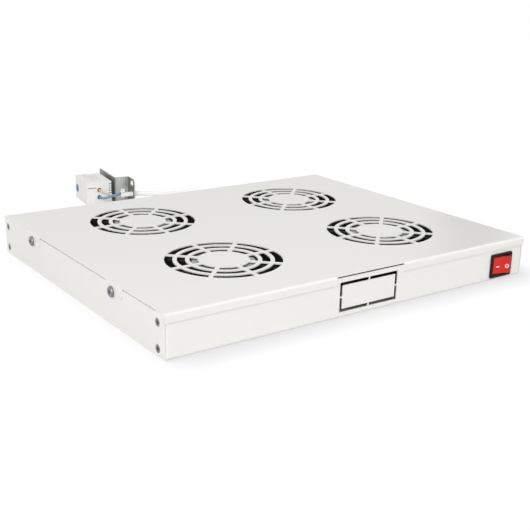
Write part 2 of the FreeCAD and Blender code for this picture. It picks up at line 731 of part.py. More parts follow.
def switch_housing():
    """Bezel and body of the rocker switch, with a cavity and two pivot holes."""
    face = -WALL_FACE - BEZEL_PROUD
    pivot = switch_pivot()
    bezel = rounded_plate((SWITCH_X, BEZEL[0]), (SWITCH_Z, BEZEL[1]), 2.0, (face, -WALL_FACE))
    edges = [edge for edge in bezel.Edges if edge.BoundBox.YMax < face + 0.01]
    bezel = bezel.makeFillet(0.8, edges)
    mouth = rounded_plate(
        (SWITCH_X, SWITCH_MOUTH[0]), (SWITCH_Z, SWITCH_MOUTH[1]), 0.8,
        (face - 1, pivot.y + 8.0),
    )
    bezel = bezel.cut(mouth)
    inner = block(
        (SWITCH_X - BEZEL[0] / 2 + 3, SWITCH_X + BEZEL[0] / 2 - 3),
        (face - 0.01, face + 0.01),
        (SWITCH_Z - BEZEL[1] / 2 + 2, SWITCH_Z + BEZEL[1] / 2 - 2),
    ).BoundBox
    rim = [edge for edge in bezel.Edges if inner.isInside(edge.BoundBox)]
    bezel = bezel.makeChamfer(MOUTH_CHAMFER, rim)
    body = rounded_plate(
        (SWITCH_X, SWITCH_CUTOUT[0] - 0.2), (SWITCH_Z, SWITCH_CUTOUT[1] - 0.2), 0.5,
        (-WALL_FACE - 0.5, -WALL_FACE + SWITCH_BODY_DEPTH),
    )
    holes = rod((pivot.x, pivot.y, SWITCH_Z - ROCKER_HEIGHT / 2 - 1.3), PIVOT_R + 0.05, ROCKER_HEIGHT + 2.6)
    return join([bezel, body]).cut([mouth, holes])


def rocker_outline():
    """Corners of the rocker's level section about its pivot: a shallow V in front."""
    rise = ROCKER_HALF * math.tan(math.radians(ROCKER_SLOPE))
    middle = -ROCKER_PIVOT
    end = middle - rise
    reach = math.hypot(ROCKER_HALF, end)
    back = 3.0
    side = math.sqrt(reach ** 2 - back ** 2)
    return middle, end, reach, back, side


def rocker_body():
    """Rocker in its middle position about the pivot at the origin."""
    middle, end, reach, back, side = rocker_outline()
    low = Vector(0, 0, -ROCKER_HEIGHT / 2)
    front = [Vector(-ROCKER_HALF, end, 0), Vector(0, middle, 0), Vector(ROCKER_HALF, end, 0)]
    edges = [
        Part.LineSegment(front[0], front[1]).toShape(),
        Part.LineSegment(front[1], front[2]).toShape(),
        Part.Arc(front[2], Vector(reach, 0, 0), Vector(side, back, 0)).toShape(),
        Part.LineSegment(Vector(side, back, 0), Vector(-side, back, 0)).toShape(),
        Part.Arc(Vector(-side, back, 0), Vector(-reach, 0, 0), front[0]).toShape(),
    ]
    section = Part.Wire(edges)
    section.translate(low)
    body = Part.Face(section).extrude(Vector(0, 0, ROCKER_HEIGHT))
    level = [
        edge for edge in body.Edges
        if edge.BoundBox.YMax < middle + 0.01 and edge.BoundBox.ZLength < 0.01
    ]
    body = body.makeFillet(ROCKER_EDGE, level)
    stem = block((-2.5, 2.5), (0, 6.0), (-5, 5))
    pins = rod((0, 0, -ROCKER_HEIGHT / 2 - 1.2), PIVOT_R, ROCKER_HEIGHT + 2.4)
    return join([body, stem, pins])


def rocker_marks_flat():
    """Bar and ring marks lying on the two faces of the rocker in its middle position."""
    middle = rocker_outline()[0]
    pads = []
    along, thick = MARK_BAR
    place, outer, inner = MARK_RING
    bar = block(along, (-MARK, 0), (-MARK_DROP - thick / 2, thick / 2 - MARK_DROP))
    disc = ring((place, -MARK, -MARK_DROP), outer, inner, MARK, Y_AXIS)
    for mark, slope in ((bar, ROCKER_SLOPE), (disc, -ROCKER_SLOPE)):
        turned = mark.copy()
        turned.rotate(Vector(0, 0, 0), Vector(*Z_AXIS), slope)
        turned.translate(Vector(0, middle, 0))
        pads.append(turned)
    return Part.makeCompound(pads)


def in_switch(shape):
    """Turn a rocker piece to the ON rest position and move it onto its pivot."""
    placed = shape.copy()
    placed.rotate(Vector(0, 0, 0), Vector(*Z_AXIS), -ROCKER_TURN)
    placed.translate(switch_pivot())
    return placed


def switch_terminals():
    """Four blade terminals on the back of the switch."""
    back = -WALL_FACE + SWITCH_BODY_DEPTH
    thick, width, length = BLADE_TERMINAL
    blades = []
    for dx in (-1, 1):
        for dz in (-1, 1):
            x = SWITCH_X + dx * BLADE_PLACE[0]
            z = SWITCH_Z + dz * BLADE_PLACE[1]
            blades.append(centred((x, thick), (back + length / 2, length), (z - width / 2, z + width / 2)))
    return Part.makeCompound(blades)


# Rear panel pieces ------------------------------------------------------------
def power_inlet():
    """Mains inlet with a flange and a three-pin socket that opens to the rear."""
    flange = rounded_plate(
        (INLET_X, INLET_FLANGE[0]), (INLET_Z, INLET_FLANGE[1]), 5.0, (WALL_FACE, WALL_FACE + 3.0),
    )
    body = rounded_plate(
        (INLET_X, INLET_BODY[0]), (INLET_Z, INLET_BODY[1]), 2.0,
        (WALL_FACE - INLET_DEPTH, WALL_FACE + 3.0),
    )
    mouth = rounded_plate(
        (INLET_X, INLET_MOUTH[0]), (INLET_Z, INLET_MOUTH[1]), 2.5,
        (WALL_FACE - INLET_DEPTH + 5.0, WALL_FACE + 4.0),
    )
    cutters = [mouth]
    for side in (-1, 1):
        x = INLET_X + side * INLET_SCREW_PITCH / 2
        cutters.append(rod((x, WALL_FACE - 1, INLET_Z), INLET_HOLE_R, 5.0, Y_AXIS))
    for x, z in inlet_pin_places():
        cutters.append(centred((x, 2.0), (WALL_FACE - INLET_DEPTH + 2.0, 8.0), (z - 2.0, z + 2.0)))
    return join([flange, body]).cut(cutters)


def inlet_pin_places():
    """Centre of each contact pin: line, earth and neutral."""
    return [(INLET_X - 7.0, INLET_Z - 2.0), (INLET_X, INLET_Z + 2.0), (INLET_X + 7.0, INLET_Z - 2.0)]


def inlet_pins():
    """Three contact pins that end in tabs inside the case."""
    return Part.makeCompound([
        block((x - 1.0, x + 1.0), (WALL_FACE - INLET_DEPTH - INLET_TAB, WALL_FACE + 0.5), (z - 2.0, z + 2.0))
        for x, z in inlet_pin_places()
    ])


def inlet_screws():
    """Two pan-head screws with nuts behind the rear wall."""
    screws = []
    for side in (-1, 1):
        x = INLET_X + side * INLET_SCREW_PITCH / 2
        head = rod((x, WALL_FACE + 3.0, INLET_Z), 2.8, 2.0, Y_AXIS)
        shank = rod((x, WALL_FACE - 7.0, INLET_Z), 1.5, 10.0, Y_AXIS)
        nut = hexagon((x, WALL_FACE - SHEET - 2.4, INLET_Z), 5.5, 2.4, Y_AXIS)
        screw = join([head, shank, nut])
        screws.append(screw.cut(cross_recess((x, WALL_FACE + 5.0, INLET_Z), (0, -1, 0), 3.0, 1.2)))
    return Part.makeCompound(screws)


def gland_body():
    """Threaded gland body with its hexagon against the rear wall."""
    thread = rod((GLAND_X, WALL_FACE - 9.0, GLAND_Z), GLAND_THREAD_R, 9.0, Y_AXIS)
    flats, thick = GLAND_HEX
    flange = hexagon((GLAND_X, WALL_FACE, GLAND_Z), flats, thick, Y_AXIS)
    neck = rod((GLAND_X, WALL_FACE + thick, GLAND_Z), GLAND_NECK[0], GLAND_NECK[1], Y_AXIS)
    bore = rod((GLAND_X, WALL_FACE - 10.0, GLAND_Z), SHEATH_R + GLAND_PLAY, 30.0, Y_AXIS)
    return join([thread, flange, neck]).cut(bore)


def gland_cap():
    """Domed cap nut that squeezes the seal onto the cable."""
    low = WALL_FACE + GLAND_HEX[1] + 0.2
    flats, thick = GLAND_CAP
    wide, narrow, rise = GLAND_DOME
    grip = hexagon((GLAND_X, low, GLAND_Z), flats, thick, Y_AXIS)
    dome = taper((GLAND_X, low + thick, GLAND_Z), wide, narrow, rise, Y_AXIS)
    inside = rod((GLAND_X, low - 1, GLAND_Z), GLAND_NECK[0] + SCREW_PLAY, 7.0, Y_AXIS)
    bore = rod((GLAND_X, low, GLAND_Z), SHEATH_R + GLAND_PLAY, thick + rise + 1, Y_AXIS)
    return join([grip, dome]).cut([inside, bore])


def gland_locknut():
    """Locknut inside the rear wall."""
    flats, thick = GLAND_LOCKNUT
    low = WALL_FACE - SHEET - thick
    nut = hexagon((GLAND_X, low, GLAND_Z), flats, thick, Y_AXIS)
    return nut.cut(rod((GLAND_X, low, GLAND_Z), GLAND_THREAD_R + 0.02, thick, Y_AXIS))


# Wiring inside the case -------------------------------------------------------
def block_ways():
    """Middle of each way of the terminal block along X."""
    return [BLOCK_CENTRE[0] + (way - (BLOCK_WAYS - 1) / 2) * BLOCK_PITCH for way in range(BLOCK_WAYS)]


def terminal_block():
    """Six-way insulating terminal block on the floor of the case."""
    y = BLOCK_CENTRE[1]
    body = centred((BLOCK_CENTRE[0], BLOCK_WAYS * BLOCK_PITCH), (y, BLOCK_DEPTH), (SHEET, BLOCK_TOP))
    cutters = []
    for x in block_ways():
        cutters.append(rod((x, y - BLOCK_DEPTH / 2 - 1, LEAD_LEVEL), CLAMP_R, BLOCK_DEPTH + 2, Y_AXIS))
        for side in (-1, 1):
            cutters.append(rod((x, y + side * 5.0, LEAD_LEVEL), 2.0, BLOCK_TOP))
    return body.cut(cutters)


def terminal_clamps():
    """Brass clamp sleeves inside the block, each with two screws."""
    y = BLOCK_CENTRE[1]
    clamps = []
    for x in block_ways():
        sleeve = ring((x, y - 8.0, LEAD_LEVEL), CLAMP_R, 1.55, 16.0, Y_AXIS)
        screws = [rod((x, y + side * 5.0, 9.8), 1.8, 3.6) for side in (-1, 1)]
        clamps.append(join([sleeve] + screws))
    return Part.makeCompound(clamps)


def lead(points):
    """One insulated conductor."""
    return tube(points, LEAD_R)


def fan_leads():
    """One lead from each fan's nearest corner to the terminal block."""
    ways = block_ways()
    near = BLOCK_CENTRE[1] - BLOCK_DEPTH / 2
    far = BLOCK_CENTRE[1] + BLOCK_DEPTH / 2
    level = LEAD_LEVEL
    return Part.makeCompound([
        lead([(-35.5, -60.0, level), (-31.5, -42.0, level), (-21.5, -24.0, level), (ways[0], near, level)]),
        lead([(39.9, -60.0, level), (35.9, -42.0, level), (24.5, -24.0, level), (ways[5], near, level)]),
        lead([(-35.5, 66.0, level), (-31.5, 48.0, level), (-21.5, 30.0, level), (ways[0], far, level)]),
        lead([(39.9, 66.0, level), (35.9, 48.0, level), (24.5, 30.0, level), (ways[5], far, level)]),
    ])


def switch_leads():
    """Two leads from the switch, along the right aisle, to the terminal block."""
    ways = block_ways()
    near = BLOCK_CENTRE[1] - BLOCK_DEPTH / 2
    start = -WALL_FACE + SWITCH_BODY_DEPTH + BLADE_TERMINAL[2]
    row = SWITCH_Z - BLADE_PLACE[1]
    return Part.makeCompound([
        lead([
            (SWITCH_X - BLADE_PLACE[0], start, row), (SWITCH_X - 6.0, -125.0, 8.0),
            (SWITCH_X - 5.0, -85.0, 4.0),
            (SWITCH_X - 6.0, -45.0, 4.0), (170.0, -18.0, 4.0), (135.0, -13.0, 4.0), (95.0, -14.0, 4.0),
            (58.0, -14.0, 4.0), (30.0, -18.0, 4.0), (11.0, -17.0, 5.5), (ways[3], near, 8.0),
        ]),
        lead([
            (SWITCH_X + BLADE_PLACE[0], start, row), (SWITCH_X + 8.0, -125.0, 8.0),
            (SWITCH_X + 9.0, -85.0, 4.0),
            (SWITCH_X + 7.0, -45.0, 4.0), (SWITCH_X - 8.0, -12.0, 4.0), (140.0, -8.0, 4.0),
            (98.0, -9.0, 4.0), (60.0, -8.0, 4.0), (38.0, -10.5, 4.0),
            (22.0, -14.0, 4.8), (ways[4], near, 8.0),
        ]),
    ])


def supply_leads():
    """One lead from the inlet and one from the thermostat cable to the block."""
    ways = block_ways()
    far = BLOCK_CENTRE[1] + BLOCK_DEPTH / 2
    pin_end = WALL_FACE - INLET_DEPTH - INLET_TAB
    return Part.makeCompound([
        lead([
            (INLET_X + 7.0, pin_end, 17.0), (INLET_X + 24.0, 149.5, 12.0), (174.0, 135.0, 6.0),
            (177.0, 105.0, 4.0), (177.5, 70.0, 4.0), (176.0, 38.0, 4.0), (161.0, 17.5, 4.0),
            (130.0, 20.0, 4.0), (98.0, 19.0, 4.0), (64.0, 20.0, 4.0),
            (34.0, 23.0, 4.0), (14.0, 24.0, 5.5), (ways[3], far, 8.0),
        ]),
        lead([
            (GLAND_X, 171.5, GLAND_Z + 1.6), (GLAND_X + 3.0, 145.0, 12.0), (GLAND_X + 6.0, 115.0, 5.0),
            (GLAND_X + 6.0, 80.0, 4.0), (GLAND_X + 5.0, 45.0, 4.0), (174.0, 15.0, 4.0), (138.0, 12.0, 4.0),
            (98.0, 13.0, 4.0), (60.0, 14.0, 4.0), (36.0, 17.0, 4.0), (21.0, 18.5, 5.2), (ways[4], far, 8.0),
        ]),
    ])


# Thermostat pieces, built along its own depth, length and height -----------------
def thermostat_cover():
    """Front shell with the knob hole, wire holes, a seam groove and vent grooves."""
    _, length, height = THERMOSTAT
    solid = block((0, COVER_DEPTH), (0, length), (0, height))
    front = [edge for edge in solid.Edges if edge.BoundBox.XMax < 0.01]
    solid = solid.makeFillet(EDGE, front)
    cavity = block((WALL, COVER_DEPTH + 1), (WALL, length - WALL), (WALL, height - WALL))
    cutters = [cavity]
    cutters.append(rod((-1, KNOB_PLACE[0], KNOB_PLACE[1]), KNOB_R + KNOB_PLAY, WALL + 2, X_AXIS))
    for along, up in WIRE_HOLES:
        cutters.append(rod((along, -1, up), WIRE_HOLE_R, WALL + 2, Y_AXIS))
    cutters.append(block((1.4, WIRE_HOLES[0][0] - WIRE_HOLE_R), (-1, WALL + 1), (22.7, 23.7)))
    for step in range(5):
        start = 8.0 + 3.4 * step
        cutters.append(block((start, start + 1.4), (12.0, length - 5.0), (height - 1.0, height + 1)))
    solid = solid.cut(cutters)
    width, proud = COLLAR
    collars = [
        ring((along, -proud, up), WIRE_HOLE_R + width, WIRE_HOLE_R, proud + 0.5, Y_AXIS)
        for along, up in WIRE_HOLES
    ]
    return join([solid] + collars)


def thermostat_base():
    """Rear half of the housing with comb vents on its sides."""
    depth, length, height = THERMOSTAT
    solid = block((COVER_DEPTH, depth), (0, length), (0, height))
    cutters = [block((COVER_DEPTH - 1, depth - WALL), (WALL, length - WALL), (WALL, height - WALL))]
    lowest, pitch, slot, count, reach = COMB
    for step in range(count):
        rise = (lowest + pitch * step, lowest + pitch * step + slot)
        cutters.append(block((depth - reach, depth + 1), (-1, WALL + 1), rise))
        cutters.append(block((depth - reach, depth + 1), (length - WALL - 1, length + 1), rise))
    return solid.cut(cutters)


def thermostat_knob():
    """Sunk setting knob with a screwdriver slot, a flange behind the cover and a spindle."""
    along, up = KNOB_PLACE
    wider, thick = KNOB_FLANGE
    inside = WALL + KNOB_PLAY
    dial = rod((-KNOB_PROUD, along, up), KNOB_R, inside + KNOB_PROUD, X_AXIS)
    flange = rod((inside, along, up), KNOB_R + wider, thick, X_AXIS)
    spindle = rod((inside, along, up), SPINDLE_R, 8.0, X_AXIS)
    rim = [edge for edge in dial.Edges if edge.BoundBox.XMax < -KNOB_PROUD + 0.01]
    dial = dial.makeFillet(0.4, rim[:1])
    slot = block((-KNOB_PROUD - 1, 0.6), (along - 0.7, along + 0.7), (up - 4.2, up + 4.2))
    return join([dial, flange, spindle]).cut(slot)


def thermostat_terminals():
    """Insulated terminal strip behind the wire holes, with a clamp bore for each wire."""
    block_body = block((12.5, 21.0), (2.4, 12.0), (6.5, 24.5))
    cutters = [rod((along, 2.0, up), CORE_R + 0.1, 8.0, Y_AXIS) for along, up in WIRE_HOLES]
    return block_body.cut(cutters)


def thermostat_clip():
    """Snap foot that grips the bracket's long plate through two windows."""
    depth, _, _ = THERMOSTAT
    foot = block((depth, BRACKET_START), (10.0, 46.0), (5.0, 24.0))
    far = BRACKET_START + BRACKET_SHEET
    hooks = []
    for start, catch in ((10.1, 8.5), (43.9, 43.9)):
        hooks.append(block((BRACKET_START - 0.5, far + 1.4), (start, start + 2.0), (10.0, 19.0)))
        hooks.append(block((far, far + 1.4), (catch, catch + 3.6), (10.0, 19.0)))
    return join([foot] + hooks)


def thermostat_bracket():
    """Z-shaped mounting bracket: long plate, short leg and a slotted rack flange."""
    start, near, thick = BRACKET_START, BRACKET_NEAR, BRACKET_SHEET
    end = start + BRACKET_STEP
    points = [
        (start, BRACKET_LENGTH, 0),
        (start, near, 0),
        (end - thick, near, 0),
        (end - thick, -BRACKET_REACH, 0),
        (end, -BRACKET_REACH, 0),
        (end, near + thick, 0),
        (start + thick, near + thick, 0),
        (start + thick, BRACKET_LENGTH, 0),
    ]
    radii = [0, 2.5, 1.0, 0, 0, 2.5, 1.0, 0]
    strip = prism(points, radii, (0, 0, BRACKET_HEIGHT))
    side = [
        (0, BRACKET_LENGTH, 0),
        (0, -BRACKET_REACH, 0),
        (0, -BRACKET_REACH, BRACKET_HEIGHT),
        (0, BRACKET_LENGTH, BRACKET_HEIGHT),
    ]
    strip = strip.common(prism(side, [1.5, 3.5, 3.5, 1.5], (end + 1, 0, 0)))
    half = (RACK_SLOT[0] - RACK_SLOT[1]) / 2
    cutters = []
    for up in RACK_SLOT_HEIGHTS:
        slot = [
            (end - 3, RACK_SLOT_PLACE - half - RACK_SLOT[1] / 2, up - RACK_SLOT[1] / 2),
            (end - 3, RACK_SLOT_PLACE + half + RACK_SLOT[1] / 2, up - RACK_SLOT[1] / 2),
            (end - 3, RACK_SLOT_PLACE + half + RACK_SLOT[1] / 2, up + RACK_SLOT[1] / 2),
            (end - 3, RACK_SLOT_PLACE - half - RACK_SLOT[1] / 2, up + RACK_SLOT[1] / 2),
        ]
        cutters.append(prism(slot, [RACK_SLOT[1] / 2 - 0.01] * 4, (5, 0, 0)))
    for low in (10.0, 42.0):
        cutters.append(block((start - 1, start + thick + 1), (low, low + 4.0), (9.5, 19.5)))
    return strip.cut(cutters)


def cable_tie():
    """Tie round the stripped end of the sheath, its head on top and a short tail."""
    place = (SHEATH_END + 0.6, RACK_SLOT_PLACE, SHEATH_HEIGHT)
    strap = ring(place, SHEATH_R + 1.1, SHEATH_R, 4.0, X_AXIS)
    top = SHEATH_HEIGHT + SHEATH_R
    low, high = place[0] - 0.5, place[0] + 4.5
    head = block((low, high), (RACK_SLOT_PLACE - 2.6, RACK_SLOT_PLACE + 2.6), (top + 0.2, top + 4.4))
    tail = block((low + 0.7, high - 0.7), (RACK_SLOT_PLACE - 6.6, RACK_SLOT_PLACE), (top + 1.4, top + 2.5))
    return join([strap, head, tail])


def core_blue():
    """Blue conductor from the lower wire hole to the sheath's end."""
    along, up = WIRE_HOLES[1]
    points = [
        (along, 7.0, up),
        (along, -4.0, up),
        (along + 4.2, -12.0, 10.7),
        (28.0, -16.0, 14.0),
        (35.5, -15.2, 15.3),
        (SHEATH_END, RACK_SLOT_PLACE, SHEATH_HEIGHT + CORE_OFFSET),
    ]
    return tube([at_thermostat(point) for point in points], CORE_R)


def core_brown():
    """Brown conductor from the upper wire hole, passing behind the blue one."""
    along, up = WIRE_HOLES[0]
    points = [
        (along, 7.0, up),
        (along, -3.0, up),
        (along + 3.0, -8.5, 19.4),
        (27.0, -11.0, 15.9),
        (34.5, -11.6, 12.6),
        (SHEATH_END, RACK_SLOT_PLACE, SHEATH_HEIGHT - CORE_OFFSET),
    ]
    return tube([at_thermostat(point) for point in points], CORE_R)


def thermostat_cable():
    """White sheath from the bracket, along the floor, into the gland in the rear wall."""
    points = [
        at_thermostat((SHEATH_END, RACK_SLOT_PLACE, SHEATH_HEIGHT)),
        at_thermostat((SHEATH_END + 25.5, RACK_SLOT_PLACE, SHEATH_HEIGHT - 0.2)),
    ]
    return tube(points + list(CABLE_ON_FLOOR), SHEATH_R)


# Output -----------------------------------------------------------------------
def all_nodes():
    """Every piece of the assembly by name."""
    right_panel = side_panel()
    nodes = {
        "base_pan": base_pan(),
        "top_cover": top_cover(),
        "side_panel_left": mirrored_x(right_panel),
        "side_panel_right": right_panel,
        "cover_screws": cover_screws(),
        "corner_screws": corner_screws(),
        "fan_screws": fan_screws(),
        "fan_nuts": fan_nuts(),
        "switch_housing": switch_housing(),
        "switch_rocker": in_switch(rocker_body()),
        "switch_marks": in_switch(rocker_marks_flat()),
        "switch_terminals": switch_terminals(),
        "power_inlet": power_inlet(),
        "inlet_pins": inlet_pins(),
        "inlet_screws": inlet_screws(),
        "gland_body": gland_body(),
        "gland_cap": gland_cap(),
        "gland_locknut": gland_locknut(),
        "terminal_block": terminal_block(),
        "terminal_clamps": terminal_clamps(),
        "fan_leads": fan_leads(),
        "switch_leads": switch_leads(),
        "supply_leads": supply_leads(),
        "thermostat_cover": place_at_thermostat(thermostat_cover()),
        "thermostat_base": place_at_thermostat(thermostat_base()),
        "thermostat_knob": place_at_thermostat(thermostat_knob()),
        "thermostat_terminals": place_at_thermostat(thermostat_terminals()),
        "thermostat_clip": place_at_thermostat(thermostat_clip()),
        "thermostat_bracket": place_at_thermostat(thermostat_bracket()),
        "cable_tie": place_at_thermostat(cable_tie()),
        "core_blue": core_blue(),
        "core_brown": core_brown(),
        "thermostat_cable": thermostat_cable(),
    }
    fan_pieces = {
        "fan_frame": fan_frame(),
        "fan_label": fan_label(),
        "fan_bearing": fan_bearing(),
        "fan_stator": fan_stator(),
        "fan_impeller": fan_impeller(),
        "fan_shaft": fan_shaft(),
    }
    for number, (x, y) in enumerate(FAN_CENTRES, start=1):
        for name, shape in fan_pieces.items():
            placed = shape.copy()
            placed.translate(Vector(x, y, FAN_FOOT))
            nodes["%s_%d" % (name, number)] = placed
    return nodes


def main():
    """Write one STEP file for each piece."""
    os.makedirs("parts", exist_ok=True)
    for name, shape in all_nodes().items():
        if not shape.isValid():
            print("not valid:", name)
        shape.exportStep("parts/%s.step" % name)


main()
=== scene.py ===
"""Looks of a rack fan tray: four mains fans in a powder-coated sheet-metal case, with a
rocker switch at the front and a remote thermostat that lies behind it on its bracket.

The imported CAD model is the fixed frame. Its nodes keep their places and get their
finishes here, and the cables and the cable tie are built round it. Sizes are given in
millimetres and turned to metres where Blender needs them.
"""

import logging
import math
from collections.abc import Mapping, Sequence
from dataclasses import dataclass
from enum import Enum
from typing import Any

import bmesh
import bpy
from mathutils import Matrix, Vector


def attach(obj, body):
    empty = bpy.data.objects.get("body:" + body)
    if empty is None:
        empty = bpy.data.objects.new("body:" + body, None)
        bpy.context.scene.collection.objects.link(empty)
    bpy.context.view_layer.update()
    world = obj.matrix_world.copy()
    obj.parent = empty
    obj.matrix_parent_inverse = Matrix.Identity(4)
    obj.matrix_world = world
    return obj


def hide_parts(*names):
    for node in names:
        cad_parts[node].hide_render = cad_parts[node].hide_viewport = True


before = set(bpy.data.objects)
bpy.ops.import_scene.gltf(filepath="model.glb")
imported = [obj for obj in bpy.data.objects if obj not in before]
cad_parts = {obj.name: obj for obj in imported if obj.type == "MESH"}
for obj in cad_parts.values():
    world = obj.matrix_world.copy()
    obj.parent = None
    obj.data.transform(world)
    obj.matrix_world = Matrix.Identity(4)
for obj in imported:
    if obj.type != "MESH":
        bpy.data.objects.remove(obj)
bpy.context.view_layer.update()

LOG = logging.getLogger("fan_tray")
MM = 0.001
FANS = (1, 2, 3, 4)
EDGE_FACETS = 2
NODE_EDGE_DEG = 40.0
# Nearly all of a noise pattern's values lie between these two.
PATTERN_RANGE = (0.25, 0.75)
PATTERN_DETAIL = 2.0
# How far red, green and blue light go in milky nylon, as shares of its glow's depth.
NYLON_REACH = (1.0, 0.6, 0.5)

Point = tuple[float, float, float]
Route = tuple[Point, ...]
Colour = tuple[float, float, float, float]


def linear(code: str) -> Colour:
    """Turn an sRGB hex colour into a linear one, by the standard's two-part curve.

    Args:
        code: six hex digits.

    Returns:
        Red, green, blue and alpha.
    """
    made = []
    for start in (0, 2, 4):
        value = int(code[start : start + 2], 16) / 255
        value = value / 12.92 if value <= 0.04045 else ((value + 0.055) / 1.055) ** 2.4
        made.append(value)
    return (*made, 1.0)


def grey(level: float) -> Colour:
    """Give a linear grey of one level."""
    return (level, level, level, 1.0)


def direction(azimuth_deg: float, elevation_deg: float) -> Vector:
    """Point from the tray's middle towards a lamp or the camera.

    Args:
        azimuth_deg: turn from straight in front, to the right.
        elevation_deg: rise over the floor.

    Returns:
        A vector of length 1.
    """
    turn, tilt = math.radians(azimuth_deg), math.radians(elevation_deg)
    return Vector((
        math.sin(turn) * math.cos(tilt),
        -math.cos(turn) * math.cos(tilt),
        math.sin(tilt),
    ))


def add(
    tree: bpy.types.NodeTree,
    kind: str,
    inputs: Mapping[Any, Any] | None = None,
    **settings: Any,
) -> bpy.types.Node:
    """Add a node with its settings and links.

    Args:
        tree: the node tree that it goes in.
        kind: Blender's name for the node's type.
        inputs: for each input's name or number, its value or the output linked to it.
        settings: the node's own properties.

    Returns:
        The new node.
    """
    made = tree.nodes.new(kind)
    for name, value in settings.items():
        setattr(made, name, value)
    for key, value in (inputs or {}).items():
        if isinstance(value, bpy.types.NodeSocket):
            tree.links.new(value, made.inputs[key])
        else:
            made.inputs[key].default_value = value
    return made


# Finishes -----------------------------------------------------------------------------
#
# Pores, eroded textures and rolled grain that are really finer than 0.3 mm are drawn at
# 0.3 to 0.6 mm, so that they show.


class Grain(Enum):
    """Kinds of pattern by which a surface varies."""

    CLOUD = "soft blotches"
    CELL = "crystals with straight borders"


@dataclass(frozen=True)
class Layer:
    """One scale of variation.

    The pitch is the distance between its features in millimetres. The amount is a share
    of the colour, a spread of the roughness, or a height in millimetres. The stretch is
    how many times longer the features are along each axis.
    """

    pitch: float
    amount: float
    stretch: Point = (1.0, 1.0, 1.0)
    grain: Grain = Grain.CLOUD

    def value(
        self, tree: bpy.types.NodeTree, place: bpy.types.NodeSocket
    ) -> bpy.types.NodeSocket:
        """Lay the pattern.

        Args:
            tree: the material's nodes.
            place: the coordinates, in metres.

        Returns:
            Its value, from 0 to 1 and about a half on average.
        """
        scale = [1.0 / (self.pitch * MM * times) for times in self.stretch]
        spread = add(tree, "ShaderNodeMapping", {"Vector": place, "Scale": scale})
        if self.grain is Grain.CELL:
            cells = add(
                tree, "ShaderNodeTexVoronoi", {"Vector": spread.outputs[0], "Scale": 1.0}
            )
            return add(
                tree, "ShaderNodeSeparateColor", {"Color": cells.outputs["Color"]}
            ).outputs[0]
        return add(
            tree,
            "ShaderNodeTexNoise",
            {"Vector": spread.outputs[0], "Scale": 1.0, "Detail": PATTERN_DETAIL},
        ).outputs["Fac"]

    def spread(
        self,
        tree: bpy.types.NodeTree,
        place: bpy.types.NodeSocket,
        middle: float,
    ) -> bpy.types.NodeSocket:
        """Spread the pattern by its amount either side of a middle value.

        Args:
            tree: the material's nodes.
            place: the coordinates, in metres.
            middle: the value where the pattern is at its average.

        Returns:
            The value.
        """
        low, high = PATTERN_RANGE
        return add(
            tree,
            "ShaderNodeMapRange",
            {
                "Value": self.value(tree, place),
                "From Min": low,
                "From Max": high,
                "To Min": middle - self.amount,
                "To Max": middle + self.amount,
            },
        ).outputs["Result"]


@dataclass(frozen=True)
class PaintedLightByFacing:
    """Painted light and shade: faces that look along one axis, either way, change tone.

    Each step pairs how squarely a face looks along it, from 0 to 1, with its share of
    the colour, from 0 to 2.
    """

    axis: Point
    steps: tuple[tuple[float, float], ...]

    def spread(
        self,
        tree: bpy.types.NodeTree,
        place: bpy.types.NodeSocket,
        middle: float,
    ) -> bpy.types.NodeSocket:
        """Work out the share by which the painted light or shade changes a face's tone.

        Args:
            tree: the material's nodes.
            place: the coordinates, which it doesn't need.
            middle: the share of a face that keeps its tone.

        Returns:
            The share.
        """
        normal = add(tree, "ShaderNodeTexCoord").outputs["Normal"]
        along = add(
            tree, "ShaderNodeVectorMath", {0: normal, 1: self.axis},
            operation="DOT_PRODUCT",
        ).outputs["Value"]
        either_way = add(tree, "ShaderNodeMath", {0: along}, operation="ABSOLUTE")
        ramp = add(tree, "ShaderNodeValToRGB", {"Fac": either_way.outputs[0]})
        stops = ramp.color_ramp.elements
        for position, _ in self.steps[2:]:
            stops.new(position)
        for stop, (position, share) in zip(stops, self.steps):
            stop.position = position
            stop.color = grey(share / 2)
        return add(
            tree, "ShaderNodeMath", {0: ramp.outputs["Color"], 1: 2.0 * middle},
            operation="MULTIPLY",
        ).outputs[0]


